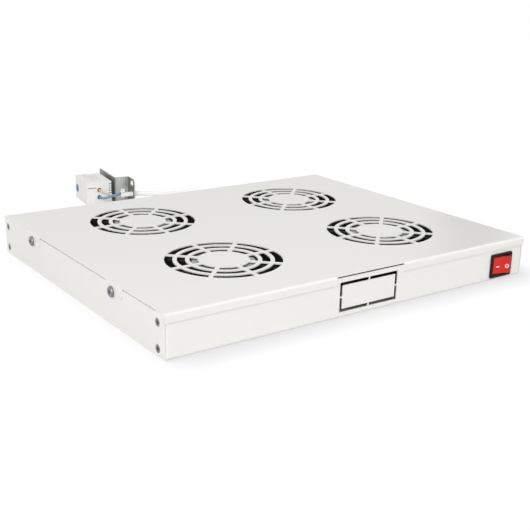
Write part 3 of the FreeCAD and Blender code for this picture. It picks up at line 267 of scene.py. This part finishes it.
@dataclass(frozen=True)
class Finish:
    """A surface: what it is made of, how it was made, and what that shows.

    The glow is the share of light that goes into the material and out again, and its
    depth is how far that light goes, in millimetres.
    """

    title: str
    colour: str
    roughness: float
    metallic: float = 0.0
    ior: float = 1.5
    tones: tuple[Layer | PaintedLightByFacing, ...] = (Layer(30.0, 0.015),)
    gloss: Layer = Layer(8.0, 0.03)
    reliefs: tuple[Layer, ...] = ()
    glow: float = 0.0
    glow_depth: float = 1.0

    def build(self) -> bpy.types.Material:
        """Make the Blender material.

        Returns:
            The material, with its node tree complete.
        """
        material = bpy.data.materials.new(self.title)
        material.use_nodes = True
        tree = material.node_tree
        shader = tree.nodes["Principled BSDF"]
        place = add(tree, "ShaderNodeTexCoord").outputs["Object"]
        tree.links.new(self.paint(tree, place), shader.inputs["Base Color"])
        rough = self.gloss.spread(tree, place, self.roughness)
        tree.links.new(rough, shader.inputs["Roughness"])
        normal = self.surface(tree, place)
        if normal is not None:
            tree.links.new(normal, shader.inputs["Normal"])
        shader.inputs["Metallic"].default_value = self.metallic
        if not self.metallic:
            shader.inputs["IOR"].default_value = self.ior
        if self.glow:
            shader.inputs["Subsurface Weight"].default_value = self.glow
            shader.inputs["Subsurface Scale"].default_value = self.glow_depth * MM
            shader.inputs["Subsurface Radius"].default_value = NYLON_REACH
        return material

    def paint(
        self, tree: bpy.types.NodeTree, place: bpy.types.NodeSocket
    ) -> bpy.types.NodeSocket:
        """Colour the surface, lighter and darker by each layer of tone and of painted
        light.

        Args:
            tree: the material's nodes.
            place: the coordinates, in metres.

        Returns:
            The colour.
        """
        colour: Any = linear(self.colour)[:3]
        for layer in self.tones:
            colour = add(
                tree,
                "ShaderNodeVectorMath",
                {0: colour, "Scale": layer.spread(tree, place, 1.0)},
                operation="SCALE",
            ).outputs[0]
        return colour

    def surface(
        self, tree: bpy.types.NodeTree, place: bpy.types.NodeSocket
    ) -> bpy.types.NodeSocket | None:
        """Raise the relief, one bump on the next.

        Args:
            tree: the material's nodes.
            place: the coordinates, in metres.

        Returns:
            The surface's direction, or None where it has no relief.
        """
        normal = None
        for relief in self.reliefs:
            inputs = {
                "Height": relief.value(tree, place),
                "Distance": relief.amount * MM,
            }
            if normal is not None:
                inputs["Normal"] = normal
            normal = add(tree, "ShaderNodeBump", inputs).outputs["Normal"]
        return normal


def dress(finish: Finish, *nodes: str) -> None:
    """Give CAD nodes a finish.

    Args:
        finish: the finish.
        nodes: the nodes' names.
    """
    material = finish.build()
    for name in nodes:
        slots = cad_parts[name].data.materials
        slots.clear()
        slots.append(material)
        LOG.info("%s: %s", name, finish.title)


def round_edges(piece: bpy.types.Object, width: float, least_deg: float) -> None:
    """Round a piece's sharp edges.

    Args:
        piece: the piece.
        width: width of the rounding, in millimetres.
        least_deg: the least turn between two faces at an edge that is rounded.
    """
    rounding = piece.modifiers.new("eased edges", "BEVEL")
    rounding.width = width * MM
    rounding.segments = EDGE_FACETS
    rounding.limit_method = "ANGLE"
    rounding.angle_limit = math.radians(least_deg)


def ease(width: float, *nodes: str) -> None:
    """Round the sharp edges of CAD nodes.

    Args:
        width: width of the rounding, in millimetres.
        nodes: the nodes' names.
    """
    for name in nodes:
        round_edges(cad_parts[name], width, NODE_EDGE_DEG)


# Polyester powder, baked: a faint orange peel breaks up the edge of each reflection.
POWDER_COAT = Finish(
    "Powder-coated steel, light grey", "E7E6E3", 0.3,
    tones=(Layer(1.2, 0.006),),
    gloss=Layer(3.0, 0.01),
    reliefs=(Layer(1.8, 0.007),),
)
# Stoved enamel on a die casting: dull black, with the sandy skin of the mould.
CAST_BLACK = Finish(
    "Die-cast aluminium, stoved black", "0B0B0A", 0.6, ior=1.4,
    tones=(Layer(12.0, 0.15), Layer(0.8, 0.1)),
    reliefs=(Layer(0.8, 0.03),),
)
# Glass-filled polyester, moulded: satin, with the fibres' faint flow marks.
PBT_BLACK = Finish(
    "Glass-filled PBT, moulded black", "0A0A09", 0.55, ior=1.4,
    tones=(Layer(6.0, 0.15, (1.0, 1.0, 4.0)),),
    reliefs=(Layer(0.5, 0.01),),
)
# Self-adhesive aluminium foil: matt silver with a rolled grain and slight waves.
FOIL = Finish(
    "Aluminium foil label, matt", "A3A4A6", 0.42, metallic=1.0,
    tones=(Layer(9.0, 0.06), Layer(0.4, 0.05, (30.0, 1.0, 1.0))),
    reliefs=(Layer(14.0, 0.12), Layer(0.4, 0.004, (20.0, 1.0, 1.0))),
)
# Pressed and sintered powder: brown metal with open pores.
BRONZE = Finish(
    "Sintered bronze, oiled", "A67A4A", 0.4, metallic=1.0,
    tones=(Layer(0.3, 0.15),), reliefs=(Layer(0.3, 0.02),),
)
# Stamped sheets in a stack: fine level lines under varnish.
LAMINATIONS = Finish(
    "Silicon steel laminations, varnished", "7C7B79", 0.5, metallic=1.0,
    tones=(Layer(0.5, 0.2, (100.0, 100.0, 1.0)),),
    reliefs=(Layer(0.5, 0.05, (100.0, 100.0, 1.0)),),
)
# Bright zinc over a rolled thread blank: a cool grey that clouds a little.
ZINC_PLATE = Finish(
    "Steel, bright zinc plated", "8E9092", 0.3, metallic=1.0,
    tones=(Layer(1.6, 0.16), Layer(0.3, 0.08)), gloss=Layer(1.2, 0.08),
    reliefs=(Layer(0.35, 0.012),),
)
# Moulded against a polished tool: black with a soft highlight.
PA_BLACK = Finish(
    "Polyamide, moulded black", "110D08", 0.55, ior=1.3,
    tones=(Layer(5.0, 0.1),), reliefs=(Layer(0.35, 0.008),),
)
# Clear resin with red dye. Painted shade darkens its top and bottom sides, and a painted
# highlight lightens the rounded edges between them and its face.
PC_RED = Finish(
    "Polycarbonate, moulded translucent red", "CE1B12", 0.34, ior=1.38,
    tones=(
        Layer(7.0, 0.06),
        # Painted shade on the faces that look up or down, and a painted highlight on the
        # edges.
        PaintedLightByFacing(
            (0.0, 0.0, 1.0),
            ((0.0, 1.0), (0.04, 1.0), (0.16, 1.6), (0.36, 0.35), (1.0, 0.24)),
        ),
    ),
    gloss=Layer(3.0, 0.04),
    reliefs=(Layer(0.6, 0.006),),
)
# A thin film of ink on the red: it dries slightly uneven.
PRINT_PINK = Finish(
    "Pad-printed ink, pinkish white", "F6D6D2", 0.5, tones=(Layer(0.6, 0.06),),
)
# Nickel on pressed brass: warm silver.
NICKEL = Finish(
    "Brass, nickel plated", "B5AC94", 0.3, metallic=1.0, tones=(Layer(1.5, 0.06),),
)
# Moulded cable gland: grey with a fine spark-eroded texture.
PA_GREY = Finish(
    "Polyamide, moulded grey", "B4B6B8", 0.45,
    tones=(Layer(6.0, 0.03),), reliefs=(Layer(0.35, 0.01),),
)
# Natural nylon: milky, so that its edges let light through.
NYLON = Finish(
    "Nylon, moulded natural", "E4E1D6", 0.4, reliefs=(Layer(0.4, 0.006),),
    glow=0.3, glow_depth=1.5,
)
# Soft PVC drawn through a die: faint rings along its length.
PVC_BLACK = Finish(
    "PVC lead insulation, extruded black", "161617", 0.4, reliefs=(Layer(1.0, 0.01),),
)
# Moulded housing: pale, with a fine eroded texture that keeps it matt.
ABS_GREY = Finish(
    "ABS, moulded light grey", "EDECE9", 0.45,
    tones=(Layer(18.0, 0.012), Layer(0.6, 0.012)), reliefs=(Layer(0.5, 0.012),),
)
# The same moulding in blue.
ABS_BLUE = Finish(
    "ABS, moulded blue", "3A72AE", 0.42,
    tones=(Layer(4.0, 0.06),), reliefs=(Layer(0.5, 0.012),),
)
# Tough moulded clip, a darker grey than the housing.
CLIP_GREY = Finish(
    "Polyamide clip, moulded grey", "6E6F6F", 0.45, tones=(Layer(5.0, 0.04),),
)
# Hot-dip zinc on rolled strip: crystals over the upright lines of rolling, and painted
# shade that makes the plate darker on its broad faces than on the foot.
GALVANISED = Finish(
    "Steel strip, hot-dip galvanised", "C9CBC6", 0.5, metallic=0.75,
    tones=(
        Layer(7.0, 0.07, grain=Grain.CELL),
        Layer(1.8, 0.12, (1.0, 1.0, 25.0)),
        Layer(22.0, 0.08),
        # Painted shade on the faces that look along the plate's depth, either way.
        PaintedLightByFacing((0.99, -0.14, 0.0), ((0.0, 1.0), (0.6, 0.4))),
    ),
    gloss=Layer(7.0, 0.06, grain=Grain.CELL),
    reliefs=(Layer(1.4, 0.02, (1.0, 1.0, 25.0)), Layer(0.5, 0.006)),
)
# Natural nylon, thin enough to glow at its edges.
TIE_NYLON = Finish(
    "Nylon cable tie, natural", "EFEFED", 0.36, tones=(Layer(3.0, 0.02),),
    reliefs=(Layer(0.4, 0.006),), glow=0.4, glow_depth=1.0,
)
# White sheath drawn through a die: satin, with the slow waves of the wires inside.
PVC_WHITE = Finish(
    "PVC sheath, extruded white", "F6F6F5", 0.36, tones=(Layer(9.0, 0.012),),
    reliefs=(Layer(6.0, 0.06), Layer(1.2, 0.01)),
)
# Single insulated cores: smooth, with the strands' faint twist.
PVC_BLUE = Finish(
    "PVC core, extruded blue", "6391BC", 0.4, tones=(Layer(3.0, 0.16),),
    reliefs=(Layer(1.6, 0.02),),
)
PVC_BROWN = Finish(
    "PVC core, extruded light brown", "DDBFA8", 0.4, tones=(Layer(3.0, 0.08),),
    reliefs=(Layer(1.6, 0.02),),
)


# Sub-assemblies -----------------------------------------------------------------------


def place_object(name: str, data: bpy.types.ID) -> bpy.types.Object:
    """Put new data into the scene under a name.

    Args:
        name: the name.
        data: a mesh, curve, lamp or camera.

    Returns:
        The object that shows it.
    """
    made = bpy.data.objects.new(name, data)
    bpy.context.scene.collection.objects.link(made)
    return made


@dataclass
class Case:
    """The folded steel case and the screws that hold it."""

    edge: float = 0.1
    screw_edge: float = 0.15
    sheets: tuple[str, ...] = (
        "base_pan", "top_cover", "side_panel_left", "side_panel_right"
    )
    shown_screws: tuple[str, ...] = ("cover_screws", "corner_screws")

    def make(self) -> None:
        """Dress the case."""
        dress(POWDER_COAT, *self.sheets)
        dress(ZINC_PLATE, *self.shown_screws, "fan_screws", "fan_nuts")
        ease(self.edge, *self.sheets)
        ease(self.screw_edge, *self.shown_screws)


@dataclass
class Fan:
    """One of the four fans."""

    number: int
    edge: float = 0.4

    def make(self) -> None:
        """Dress the fan."""
        n = self.number
        dress(CAST_BLACK, f"fan_frame_{n}")
        dress(PBT_BLACK, f"fan_impeller_{n}")
        dress(FOIL, f"fan_label_{n}")
        dress(BRONZE, f"fan_bearing_{n}")
        dress(LAMINATIONS, f"fan_stator_{n}")
        dress(ZINC_PLATE, f"fan_shaft_{n}")
        ease(self.edge, f"fan_frame_{n}", f"fan_impeller_{n}")


@dataclass
class Switch:
    """The rocker switch."""

    def make(self) -> None:
        """Dress the switch."""
        dress(PA_BLACK, "switch_housing")
        dress(PC_RED, "switch_rocker")
        dress(PRINT_PINK, "switch_marks")
        dress(NICKEL, "switch_terminals")


@dataclass
class RearPanel:
    """Inlet, gland, terminal block and the leads inside."""

    edge: float = 0.4
    gland: tuple[str, ...] = ("gland_body", "gland_cap", "gland_locknut")

    def make(self) -> None:
        """Dress the rear panel's parts."""
        dress(PA_BLACK, "power_inlet")
        dress(NICKEL, "inlet_pins", "terminal_clamps")
        dress(ZINC_PLATE, "inlet_screws")
        dress(PA_GREY, *self.gland)
        dress(NYLON, "terminal_block")
        dress(PVC_BLACK, "fan_leads", "switch_leads", "supply_leads")
        ease(self.edge, "power_inlet", *self.gland)


@dataclass
class Thermostat:
    """The thermostat and its bracket."""

    edge: float = 0.3
    sheet_edge: float = 0.25

    def make(self) -> None:
        """Dress the thermostat."""
        dress(ABS_GREY, "thermostat_cover", "thermostat_base")
        dress(ABS_BLUE, "thermostat_knob")
        dress(PA_BLACK, "thermostat_terminals")
        dress(CLIP_GREY, "thermostat_clip")
        dress(GALVANISED, "thermostat_bracket")
        ease(self.edge, "thermostat_clip")
        ease(self.sheet_edge, "thermostat_bracket")


@dataclass(frozen=True)
class ThermostatFrame:
    """Where the thermostat lies: its near left foot and its turn about Z."""

    corner: tuple[float, float] = (-54.6, 327.0)
    yaw_deg: float = -8.2

    def at(self, point: Point) -> Point:
        """Turn a point given from the thermostat's foot into the tray's frame.

        Args:
            point: distance along its depth, along its length, and height.

        Returns:
            The point in the tray's frame, all in millimetres.
        """
        depth, length, height = point
        cosine = math.cos(math.radians(self.yaw_deg))
        sine = math.sin(math.radians(self.yaw_deg))
        return (
            self.corner[0] + depth * cosine - length * sine,
            self.corner[1] + depth * sine + length * cosine,
            height,
        )


THERMOSTAT = ThermostatFrame()


@dataclass
class Cord:
    """A round cord laid along a smooth line.

    The smoothness is how many straight pieces the line has between two points, and how
    finely the cord's round is faceted.
    """

    name: str
    route: Route
    radius: float
    finish: Finish
    slot: str
    smoothness: tuple[int, int] = (24, 6)

    def make(self) -> bpy.types.Object:
        """Build the cord.

        Returns:
            The curve, riding on the tray in place of its CAD solid.
        """
        curve = bpy.data.curves.new(self.name, "CURVE")
        curve.dimensions = "3D"
        curve.resolution_u, curve.bevel_resolution = self.smoothness
        curve.bevel_depth = self.radius * MM
        curve.use_fill_caps = True
        spline = curve.splines.new("NURBS")
        spline.points.add(len(self.route) - 1)
        for point, place in zip(spline.points, self.route):
            point.co = (*(value * MM for value in place), 1.0)
        spline.order_u = 3
        spline.use_endpoint_u = True
        spline.use_smooth = True
        curve.materials.append(self.finish.build())
        made = place_object(self.name, curve)
        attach(made, "tray")
        LOG.info("%s: %d points", self.name, len(self.route))
        return made


def band(
    shape: bmesh.types.BMesh,
    first: Sequence[bmesh.types.BMVert],
    second: Sequence[bmesh.types.BMVert],
) -> None:
    """Join two rings of corners with a band of faces.

    Args:
        shape: the mesh being built.
        first: one ring.
        second: the other, with as many corners in the same order.
    """
    for corner in range(len(first)):
        near = (corner + 1) % len(first)
        shape.faces.new((first[corner], first[near], second[near], second[corner]))


@dataclass
class CableTie:
    """A nylon tie round the sheath: toothed strap, head with its slot, and tail.

    The place is the strap's middle on the sheath's axis, given from the thermostat's
    foot. The head is its size along the sheath, across it and upward, and the mouth is
    its slot's width and height.
    """

    place: Point = (45.2, -13.3, 14.4)
    sheath: float = 3.2
    width: float = 3.6
    thick: float = 0.95
    rim: float = 0.6
    tooth: float = 0.28
    tooth_steps: int = 4
    teeth: int = 30
    head: Point = (5.0, 5.2, 4.2)
    head_lift: float = 0.2
    mouth: tuple[float, float] = (3.9, 1.5)
    mouth_lift: float = 1.9
    tail_length: float = 4.0
    tail_play: float = 0.1
    tail_inset: float = 0.4
    tail_under: float = 0.5
    tail_over: float = 0.45
    tail_steps: int = 18
    edge: float = 0.25
    edge_deg: float = 50.0

    def make(self) -> bpy.types.Object:
        """Build the tie.

        Returns:
            The mesh object, riding on the tray in place of its CAD solid.
        """
        shape = bmesh.new()
        self.strap(shape)
        self.block(shape)
        self.tail(shape)
        bmesh.ops.recalc_face_normals(shape, faces=shape.faces)
        mesh = bpy.data.meshes.new("cable_tie_nylon")
        shape.to_mesh(mesh)
        shape.free()
        mesh.materials.append(TIE_NYLON.build())
        made = place_object("cable_tie_nylon", mesh)
        round_edges(made, self.edge, self.edge_deg)
        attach(made, "tray")
        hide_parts("cable_tie")
        LOG.info("cable_tie_nylon: %d faces", len(mesh.polygons))
        return made

    def point(self, along: float, across: float, up: float) -> Vector:
        """Turn a point given from the sheath's axis into the tray's frame, in metres."""
        depth, length, height = self.place
        return Vector(THERMOSTAT.at((depth + along, length + across, height + up))) * MM

    def strap(self, shape: bmesh.types.BMesh) -> None:
        """Wrap the strap round the sheath, its teeth outward.

        Args:
            shape: the mesh being built.
        """
        half = self.width / 2
        inner = half - self.rim
        outer = self.sheath + self.thick
        loops = []
        steps = self.tooth_steps * self.teeth
        for step in range(steps):
            angle = math.tau * step / steps
            slope = step % self.tooth_steps
            ridge = outer - self.tooth * slope / (self.tooth_steps - 1)
            section = (
                (-half, self.sheath), (-half, outer), (-inner, outer), (-inner, ridge),
                (inner, ridge), (inner, outer), (half, outer), (half, self.sheath),
            )
            loops.append([
                shape.verts.new(self.point(x, r * math.sin(angle), r * math.cos(angle)))
                for x, r in section
            ])
        for loop, following in zip(loops, loops[1:] + loops[:1]):
            band(shape, loop, following)

    def block(self, shape: bmesh.types.BMesh) -> None:
        """Set the head on the strap, with the slot that the tail leaves by.

        Args:
            shape: the mesh being built.
        """
        long, wide, tall = self.head
        base = self.sheath + self.head_lift
        corners = {}
        for x in (-1, 1):
            for y in (-1, 1):
                for z in (0, 1):
                    corners[x, y, z] = shape.verts.new(
                        self.point(x * long / 2, y * wide / 2, base + z * tall)
                    )
        box = [
            [(-1, -1, 0), (-1, 1, 0), (1, 1, 0), (1, -1, 0)],
            [(-1, -1, 1), (1, -1, 1), (1, 1, 1), (-1, 1, 1)],
            [(-1, -1, 0), (-1, -1, 1), (-1, 1, 1), (-1, 1, 0)],
            [(1, -1, 0), (1, 1, 0), (1, 1, 1), (1, -1, 1)],
        ]
        for keys in box:
            shape.faces.new([corners[key] for key in keys])
        half_wide, half_tall = self.mouth[0] / 2, self.mouth[1] / 2
        mouth = (
            (-half_wide, -half_tall), (half_wide, -half_tall),
            (half_wide, half_tall), (-half_wide, half_tall),
        )
        middle = base + self.mouth_lift
        holes = []
        for y in (-1, 1):
            outline = [corners[x, y, z] for x, z in ((-1, 0), (1, 0), (1, 1), (-1, 1))]
            hole = [
                shape.verts.new(self.point(x, y * wide / 2, middle + z))
                for x, z in mouth
            ]
            band(shape, outline, hole)
            holes.append(hole)
        band(shape, *holes)

    def tail(self, shape: bmesh.types.BMesh) -> None:
        """Run the trimmed tail out through the slot, its teeth upward.

        Args:
            shape: the mesh being built.
        """
        middle = self.sheath + self.head_lift + self.mouth_lift
        foot = middle - self.tail_under
        half = self.width / 2 - self.tail_play
        start = self.head[1] / 2 - self.tail_inset
        end = -self.head[1] / 2 - self.tail_length
        previous = None
        for step in range(self.tail_steps + 1):
            across = start + (end - start) * step / self.tail_steps
            top = middle + self.tail_over - (self.tooth if step % 2 else 0.0)
            section = [
                shape.verts.new(self.point(x, across, z))
                for x, z in ((-half, foot), (half, foot), (half, top), (-half, top))
            ]
            if previous is None:
                shape.faces.new(section[::-1])
            else:
                band(shape, previous, section)
            previous = section
        shape.faces.new(previous)


@dataclass
class Cables:
    """The thermostat's cable, its two cores and the tie.

    The sheath's end and the cores' routes are given from the thermostat's foot.
    """

    sheath_radius: float = 3.2
    core_radius: float = 1.6
    sheath_route: Route = (
        (185.0, 171.5, 18.0), (185.0, 207.5, 18.0), (187.0, 241.0, 10.0),
        (186.0, 270.0, 3.3), (174.0, 296.0, 3.3), (153.0, 314.0, 3.3),
        (127.0, 321.0, 3.3), (97.0, 319.0, 3.3), (66.0, 309.0, 5.2),
        (38.0, 304.0, 10.4),
    )
    sheath_end: Route = ((68.1, -13.3, 14.2), (42.6, -13.3, 14.4))
    blue_route: Route = (
        (42.6, -13.3, 16.05), (35.5, -15.2, 15.3), (28.0, -16.0, 14.0),
        (20.7, -12.0, 10.7), (16.5, -4.0, 10.4), (16.5, 7.0, 10.4),
    )
    brown_route: Route = (
        (42.6, -13.3, 12.75), (34.5, -11.6, 12.6), (27.0, -11.0, 15.9),
        (19.7, -8.5, 19.4), (16.7, -3.0, 20.4), (16.7, 7.0, 20.4),
    )

    def make(self) -> None:
        sheath = Cord(
            "cable_sheath",
            (*self.sheath_route, *map(THERMOSTAT.at, self.sheath_end)),
            self.sheath_radius, PVC_WHITE, "sheath_white",
        ).make()
        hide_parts("thermostat_cable")
        tie = CableTie(sheath=self.sheath_radius).make()
        self.core("blue", PVC_BLUE, self.blue_route)
        self.core("brown", PVC_BROWN, self.brown_route)

    def core(self, colour: str, finish: Finish, route: Route) -> None:
        """Lay one core from the sheath's end to its wire hole.

        Args:
            colour: its colour, which names it.
            finish: its finish.
            route: its points, given from the thermostat's foot.
        """
        points = tuple(THERMOSTAT.at(point) for point in route)
        made = Cord(
            f"cable_core_{colour}", points, self.core_radius, finish, f"core_{colour}"
        ).make()
        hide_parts(f"core_{colour}")


# Studio -------------------------------------------------------------------------------


@dataclass(frozen=True)
class Lamp:
    """A square lamp aimed at the middle of the tray, its distance and size in metres.

    The level is the brightness that a white matt surface facing it would have there.
    """

    name: str
    azimuth_deg: float
    elevation_deg: float
    distance: float
    size: float
    level: float

    def make(self) -> None:
        """Hang the lamp."""
        light = bpy.data.lights.new(self.name, "AREA")
        light.shape = "SQUARE"
        light.size = self.size
        light.energy = math.pi**2 * self.distance**2 * self.level
        made = place_object(self.name, light)
        made.location = self.distance * direction(self.azimuth_deg, self.elevation_deg)
        made.rotation_euler = (-made.location).to_track_quat("-Z", "Y").to_euler()


def studio_material(name: str) -> bpy.types.Material:
    """Start a material for the studio.

    Args:
        name: its name.

    Returns:
        The material, with no nodes yet.
    """
    material = bpy.data.materials.new(name)
    material.use_nodes = True
    material.node_tree.nodes.clear()
    return material


def sheet(
    name: str, corners: Sequence[Sequence[float]], material: bpy.types.Material
) -> None:
    """Stand or lay one flat sheet of the studio.

    Args:
        name: its name.
        corners: its four corners, in metres.
        material: what it is made of.
    """
    mesh = bpy.data.meshes.new(name)
    mesh.from_pydata([tuple(corner) for corner in corners], [], [(0, 1, 2, 3)])
    mesh.materials.append(material)
    place_object(name, mesh)


@dataclass(frozen=True)
class Card:
    """A card that stands on the floor behind the tray and that only gloss shows.

    Its two ends are given as turns from straight behind, clockwise from above, and its
    distance and height in metres.
    """

    name: str
    ends_deg: tuple[float, float]
    distance: float
    height: float
    level: float

    def make(self) -> None:
        """Stand the card."""
        material = studio_material(f"Studio {self.name}")
        tree = material.node_tree
        path = add(tree, "ShaderNodeLightPath")
        clear = add(tree, "ShaderNodeBsdfTransparent")
        face = add(tree, "ShaderNodeEmission", {"Color": grey(self.level)})
        mix = add(
            tree, "ShaderNodeMixShader",
            {0: path.outputs["Is Glossy Ray"], 1: clear.outputs[0], 2: face.outputs[0]},
        )
        add(tree, "ShaderNodeOutputMaterial", {"Surface": mix.outputs[0]})
        left, right = (
            (
                self.distance * math.sin(math.radians(turn)),
                self.distance * math.cos(math.radians(turn)),
            )
            for turn in self.ends_deg
        )
        top = self.height
        corners = ((*left, 0.0), (*right, 0.0), (*right, top), (*left, top))
        sheet(self.name, corners, material)


@dataclass
class Studio:
    """The pale floor, the soft light and the camera.

    The camera's place and lens are in millimetres. The paper shines by itself just short
    of white, and a little more where light falls on it, up to the first reach, and is
    plain white past the second, both in metres. Close to the tray it is darker by up to
    the shade's depth, within the shade's reach in millimetres, on the side that the lean
    points away from. Where it lights the tray, it is plain matt paper.
    """

    camera_place: Point = (-553.2, -783.5, 305.1)
    azimuth_deg: float = -35.638
    elevation_deg: float = 17.828
    roll_deg: float = 1.319
    lens: float = 61.66
    sensor: float = 36.0
    clip: tuple[float, float] = (0.01, 50.0)
    lamps: tuple[Lamp, ...] = (
        Lamp("key", -48.0, 30.0, 3.2, 1.4, 0.5),
        Lamp("fill", 55.0, 47.0, 2.4, 1.4, 0.22),
    )
    surround: float = 0.6
    paper_glow: float = 0.96
    paper_catch: float = 0.06
    paper_reach: tuple[float, float] = (0.45, 0.75)
    shade_reach: float = 36.0
    shade_depth: float = 0.42
    shade_lean: Point = (-0.7, 0.4, 0.6)
    paper_matt: float = 0.8
    floor_side: float = 6.0
    floor_drop: float = 0.2
    cards: tuple[Card, ...] = (
        Card("low card, pale", (4.0, 51.0), 2.5, 0.5, 0.78),
        Card("tall card, black", (51.6, 57.5), 2.5, 1.8, 0.02),
    )

    def make(self) -> None:
        """Set the camera, the lamps, the world, the floor and the cards."""
        self.camera()
        self.world()
        self.floor()
        for piece in (*self.cards, *self.lamps):
            piece.make()
        bpy.context.scene.view_settings.view_transform = "Standard"

    def camera(self) -> None:
        """Set the camera."""
        data = bpy.data.cameras.new("camera")
        data.lens = self.lens
        data.sensor_width = self.sensor
        data.clip_start, data.clip_end = self.clip
        made = place_object("camera", data)
        back = direction(self.azimuth_deg, self.elevation_deg)
        right = Vector((0, 0, 1)).cross(back).normalized()
        up = back.cross(right)
        roll = math.radians(self.roll_deg)
        across = math.cos(roll) * right + math.sin(roll) * up
        upward = math.cos(roll) * up - math.sin(roll) * right
        made.matrix_world = (
            Matrix.Translation(Vector(self.camera_place) * MM)
            @ Matrix((across, upward, back)).transposed().to_4x4()
        )
        bpy.context.scene.camera = made

    def seen(self, tree: bpy.types.NodeTree) -> bpy.types.NodeSocket:
        """Tell rays that see the background, straight or in gloss, from those that light.

        Args:
            tree: the nodes of the world or of a studio material.

        Returns:
            1 for a ray that sees it, else 0.
        """
        path = add(tree, "ShaderNodeLightPath")
        shown = path.outputs["Is Camera Ray"]
        for other in ("Is Transmission Ray", "Is Glossy Ray"):
            shown = add(
                tree, "ShaderNodeMath", {0: shown, 1: path.outputs[other]},
                operation="MAXIMUM",
            ).outputs[0]
        return shown

    def world(self) -> None:
        """Light everything softly from all round."""
        world = bpy.data.worlds.new("studio")
        world.use_nodes = True
        tree = world.node_tree
        tree.nodes.clear()
        strength = add(
            tree, "ShaderNodeMapRange",
            {"Value": self.seen(tree), "To Min": self.surround, "To Max": 1.0},
        )
        light = add(
            tree, "ShaderNodeBackground",
            {"Color": grey(1.0), "Strength": strength.outputs[0]},
        )
        add(tree, "ShaderNodeOutputWorld", {"Surface": light.outputs[0]})
        bpy.context.scene.world = world

    def floor(self) -> None:
        """Lay white paper with a painted soft shadow and a faint real one, plain white
        round it.
        """
        material = studio_material("Studio paper, white")
        tree = material.node_tree
        white = grey(1.0)
        matt = add(tree, "ShaderNodeBsdfDiffuse", {"Color": grey(self.paper_matt)})
        catch = add(tree, "ShaderNodeBsdfDiffuse", {"Color": grey(self.paper_catch)})
        lean = add(
            tree, "ShaderNodeVectorMath", {0: self.shade_lean}, operation="NORMALIZE"
        )
        # Painted shadow: the paper's glow is dimmed where the tray is near, round the
        # lean.
        open_share = add(
            tree, "ShaderNodeAmbientOcclusion",
            {"Distance": self.shade_reach * MM, "Normal": lean.outputs[0]},
        )
        level = add(
            tree, "ShaderNodeMapRange",
            {
                "Value": open_share.outputs["AO"],
                "To Min": self.paper_glow * (1.0 - self.shade_depth),
                "To Max": self.paper_glow,
            },
        )
        glow = add(
            tree, "ShaderNodeEmission", {"Color": white, "Strength": level.outputs[0]}
        )
        near = add(
            tree, "ShaderNodeAddShader", {0: glow.outputs[0], 1: catch.outputs[0]}
        )
        plain = add(tree, "ShaderNodeEmission", {"Color": white, "Strength": 1.0})
        place = add(tree, "ShaderNodeTexCoord").outputs["Object"]
        away = add(tree, "ShaderNodeVectorMath", {0: place}, operation="LENGTH")
        reach, end = self.paper_reach
        share = add(
            tree, "ShaderNodeMapRange",
            {"Value": away.outputs["Value"], "From Min": reach, "From Max": end},
        )
        shown = add(
            tree, "ShaderNodeMixShader",
            {0: share.outputs[0], 1: near.outputs[0], 2: plain.outputs[0]},
        )
        mix = add(
            tree, "ShaderNodeMixShader",
            {0: self.seen(tree), 1: matt.outputs[0], 2: shown.outputs[0]},
        )
        add(tree, "ShaderNodeOutputMaterial", {"Surface": mix.outputs[0]})
        side = self.floor_side
        low = -self.floor_drop * MM
        signs = ((-1, -1), (1, -1), (1, 1), (-1, 1))
        sheet("floor", [(x * side, y * side, low) for x, y in signs], material)


def main() -> None:
    """Build everything in order."""
    logging.basicConfig(level=logging.INFO, format="%(name)s: %(message)s")
    Studio().make()
    Cables().make()
    Case().make()
    for number in FANS:
        Fan(number).make()
    Switch().make()
    RearPanel().make()
    Thermostat().make()


if __name__ == "__main__":
    main()
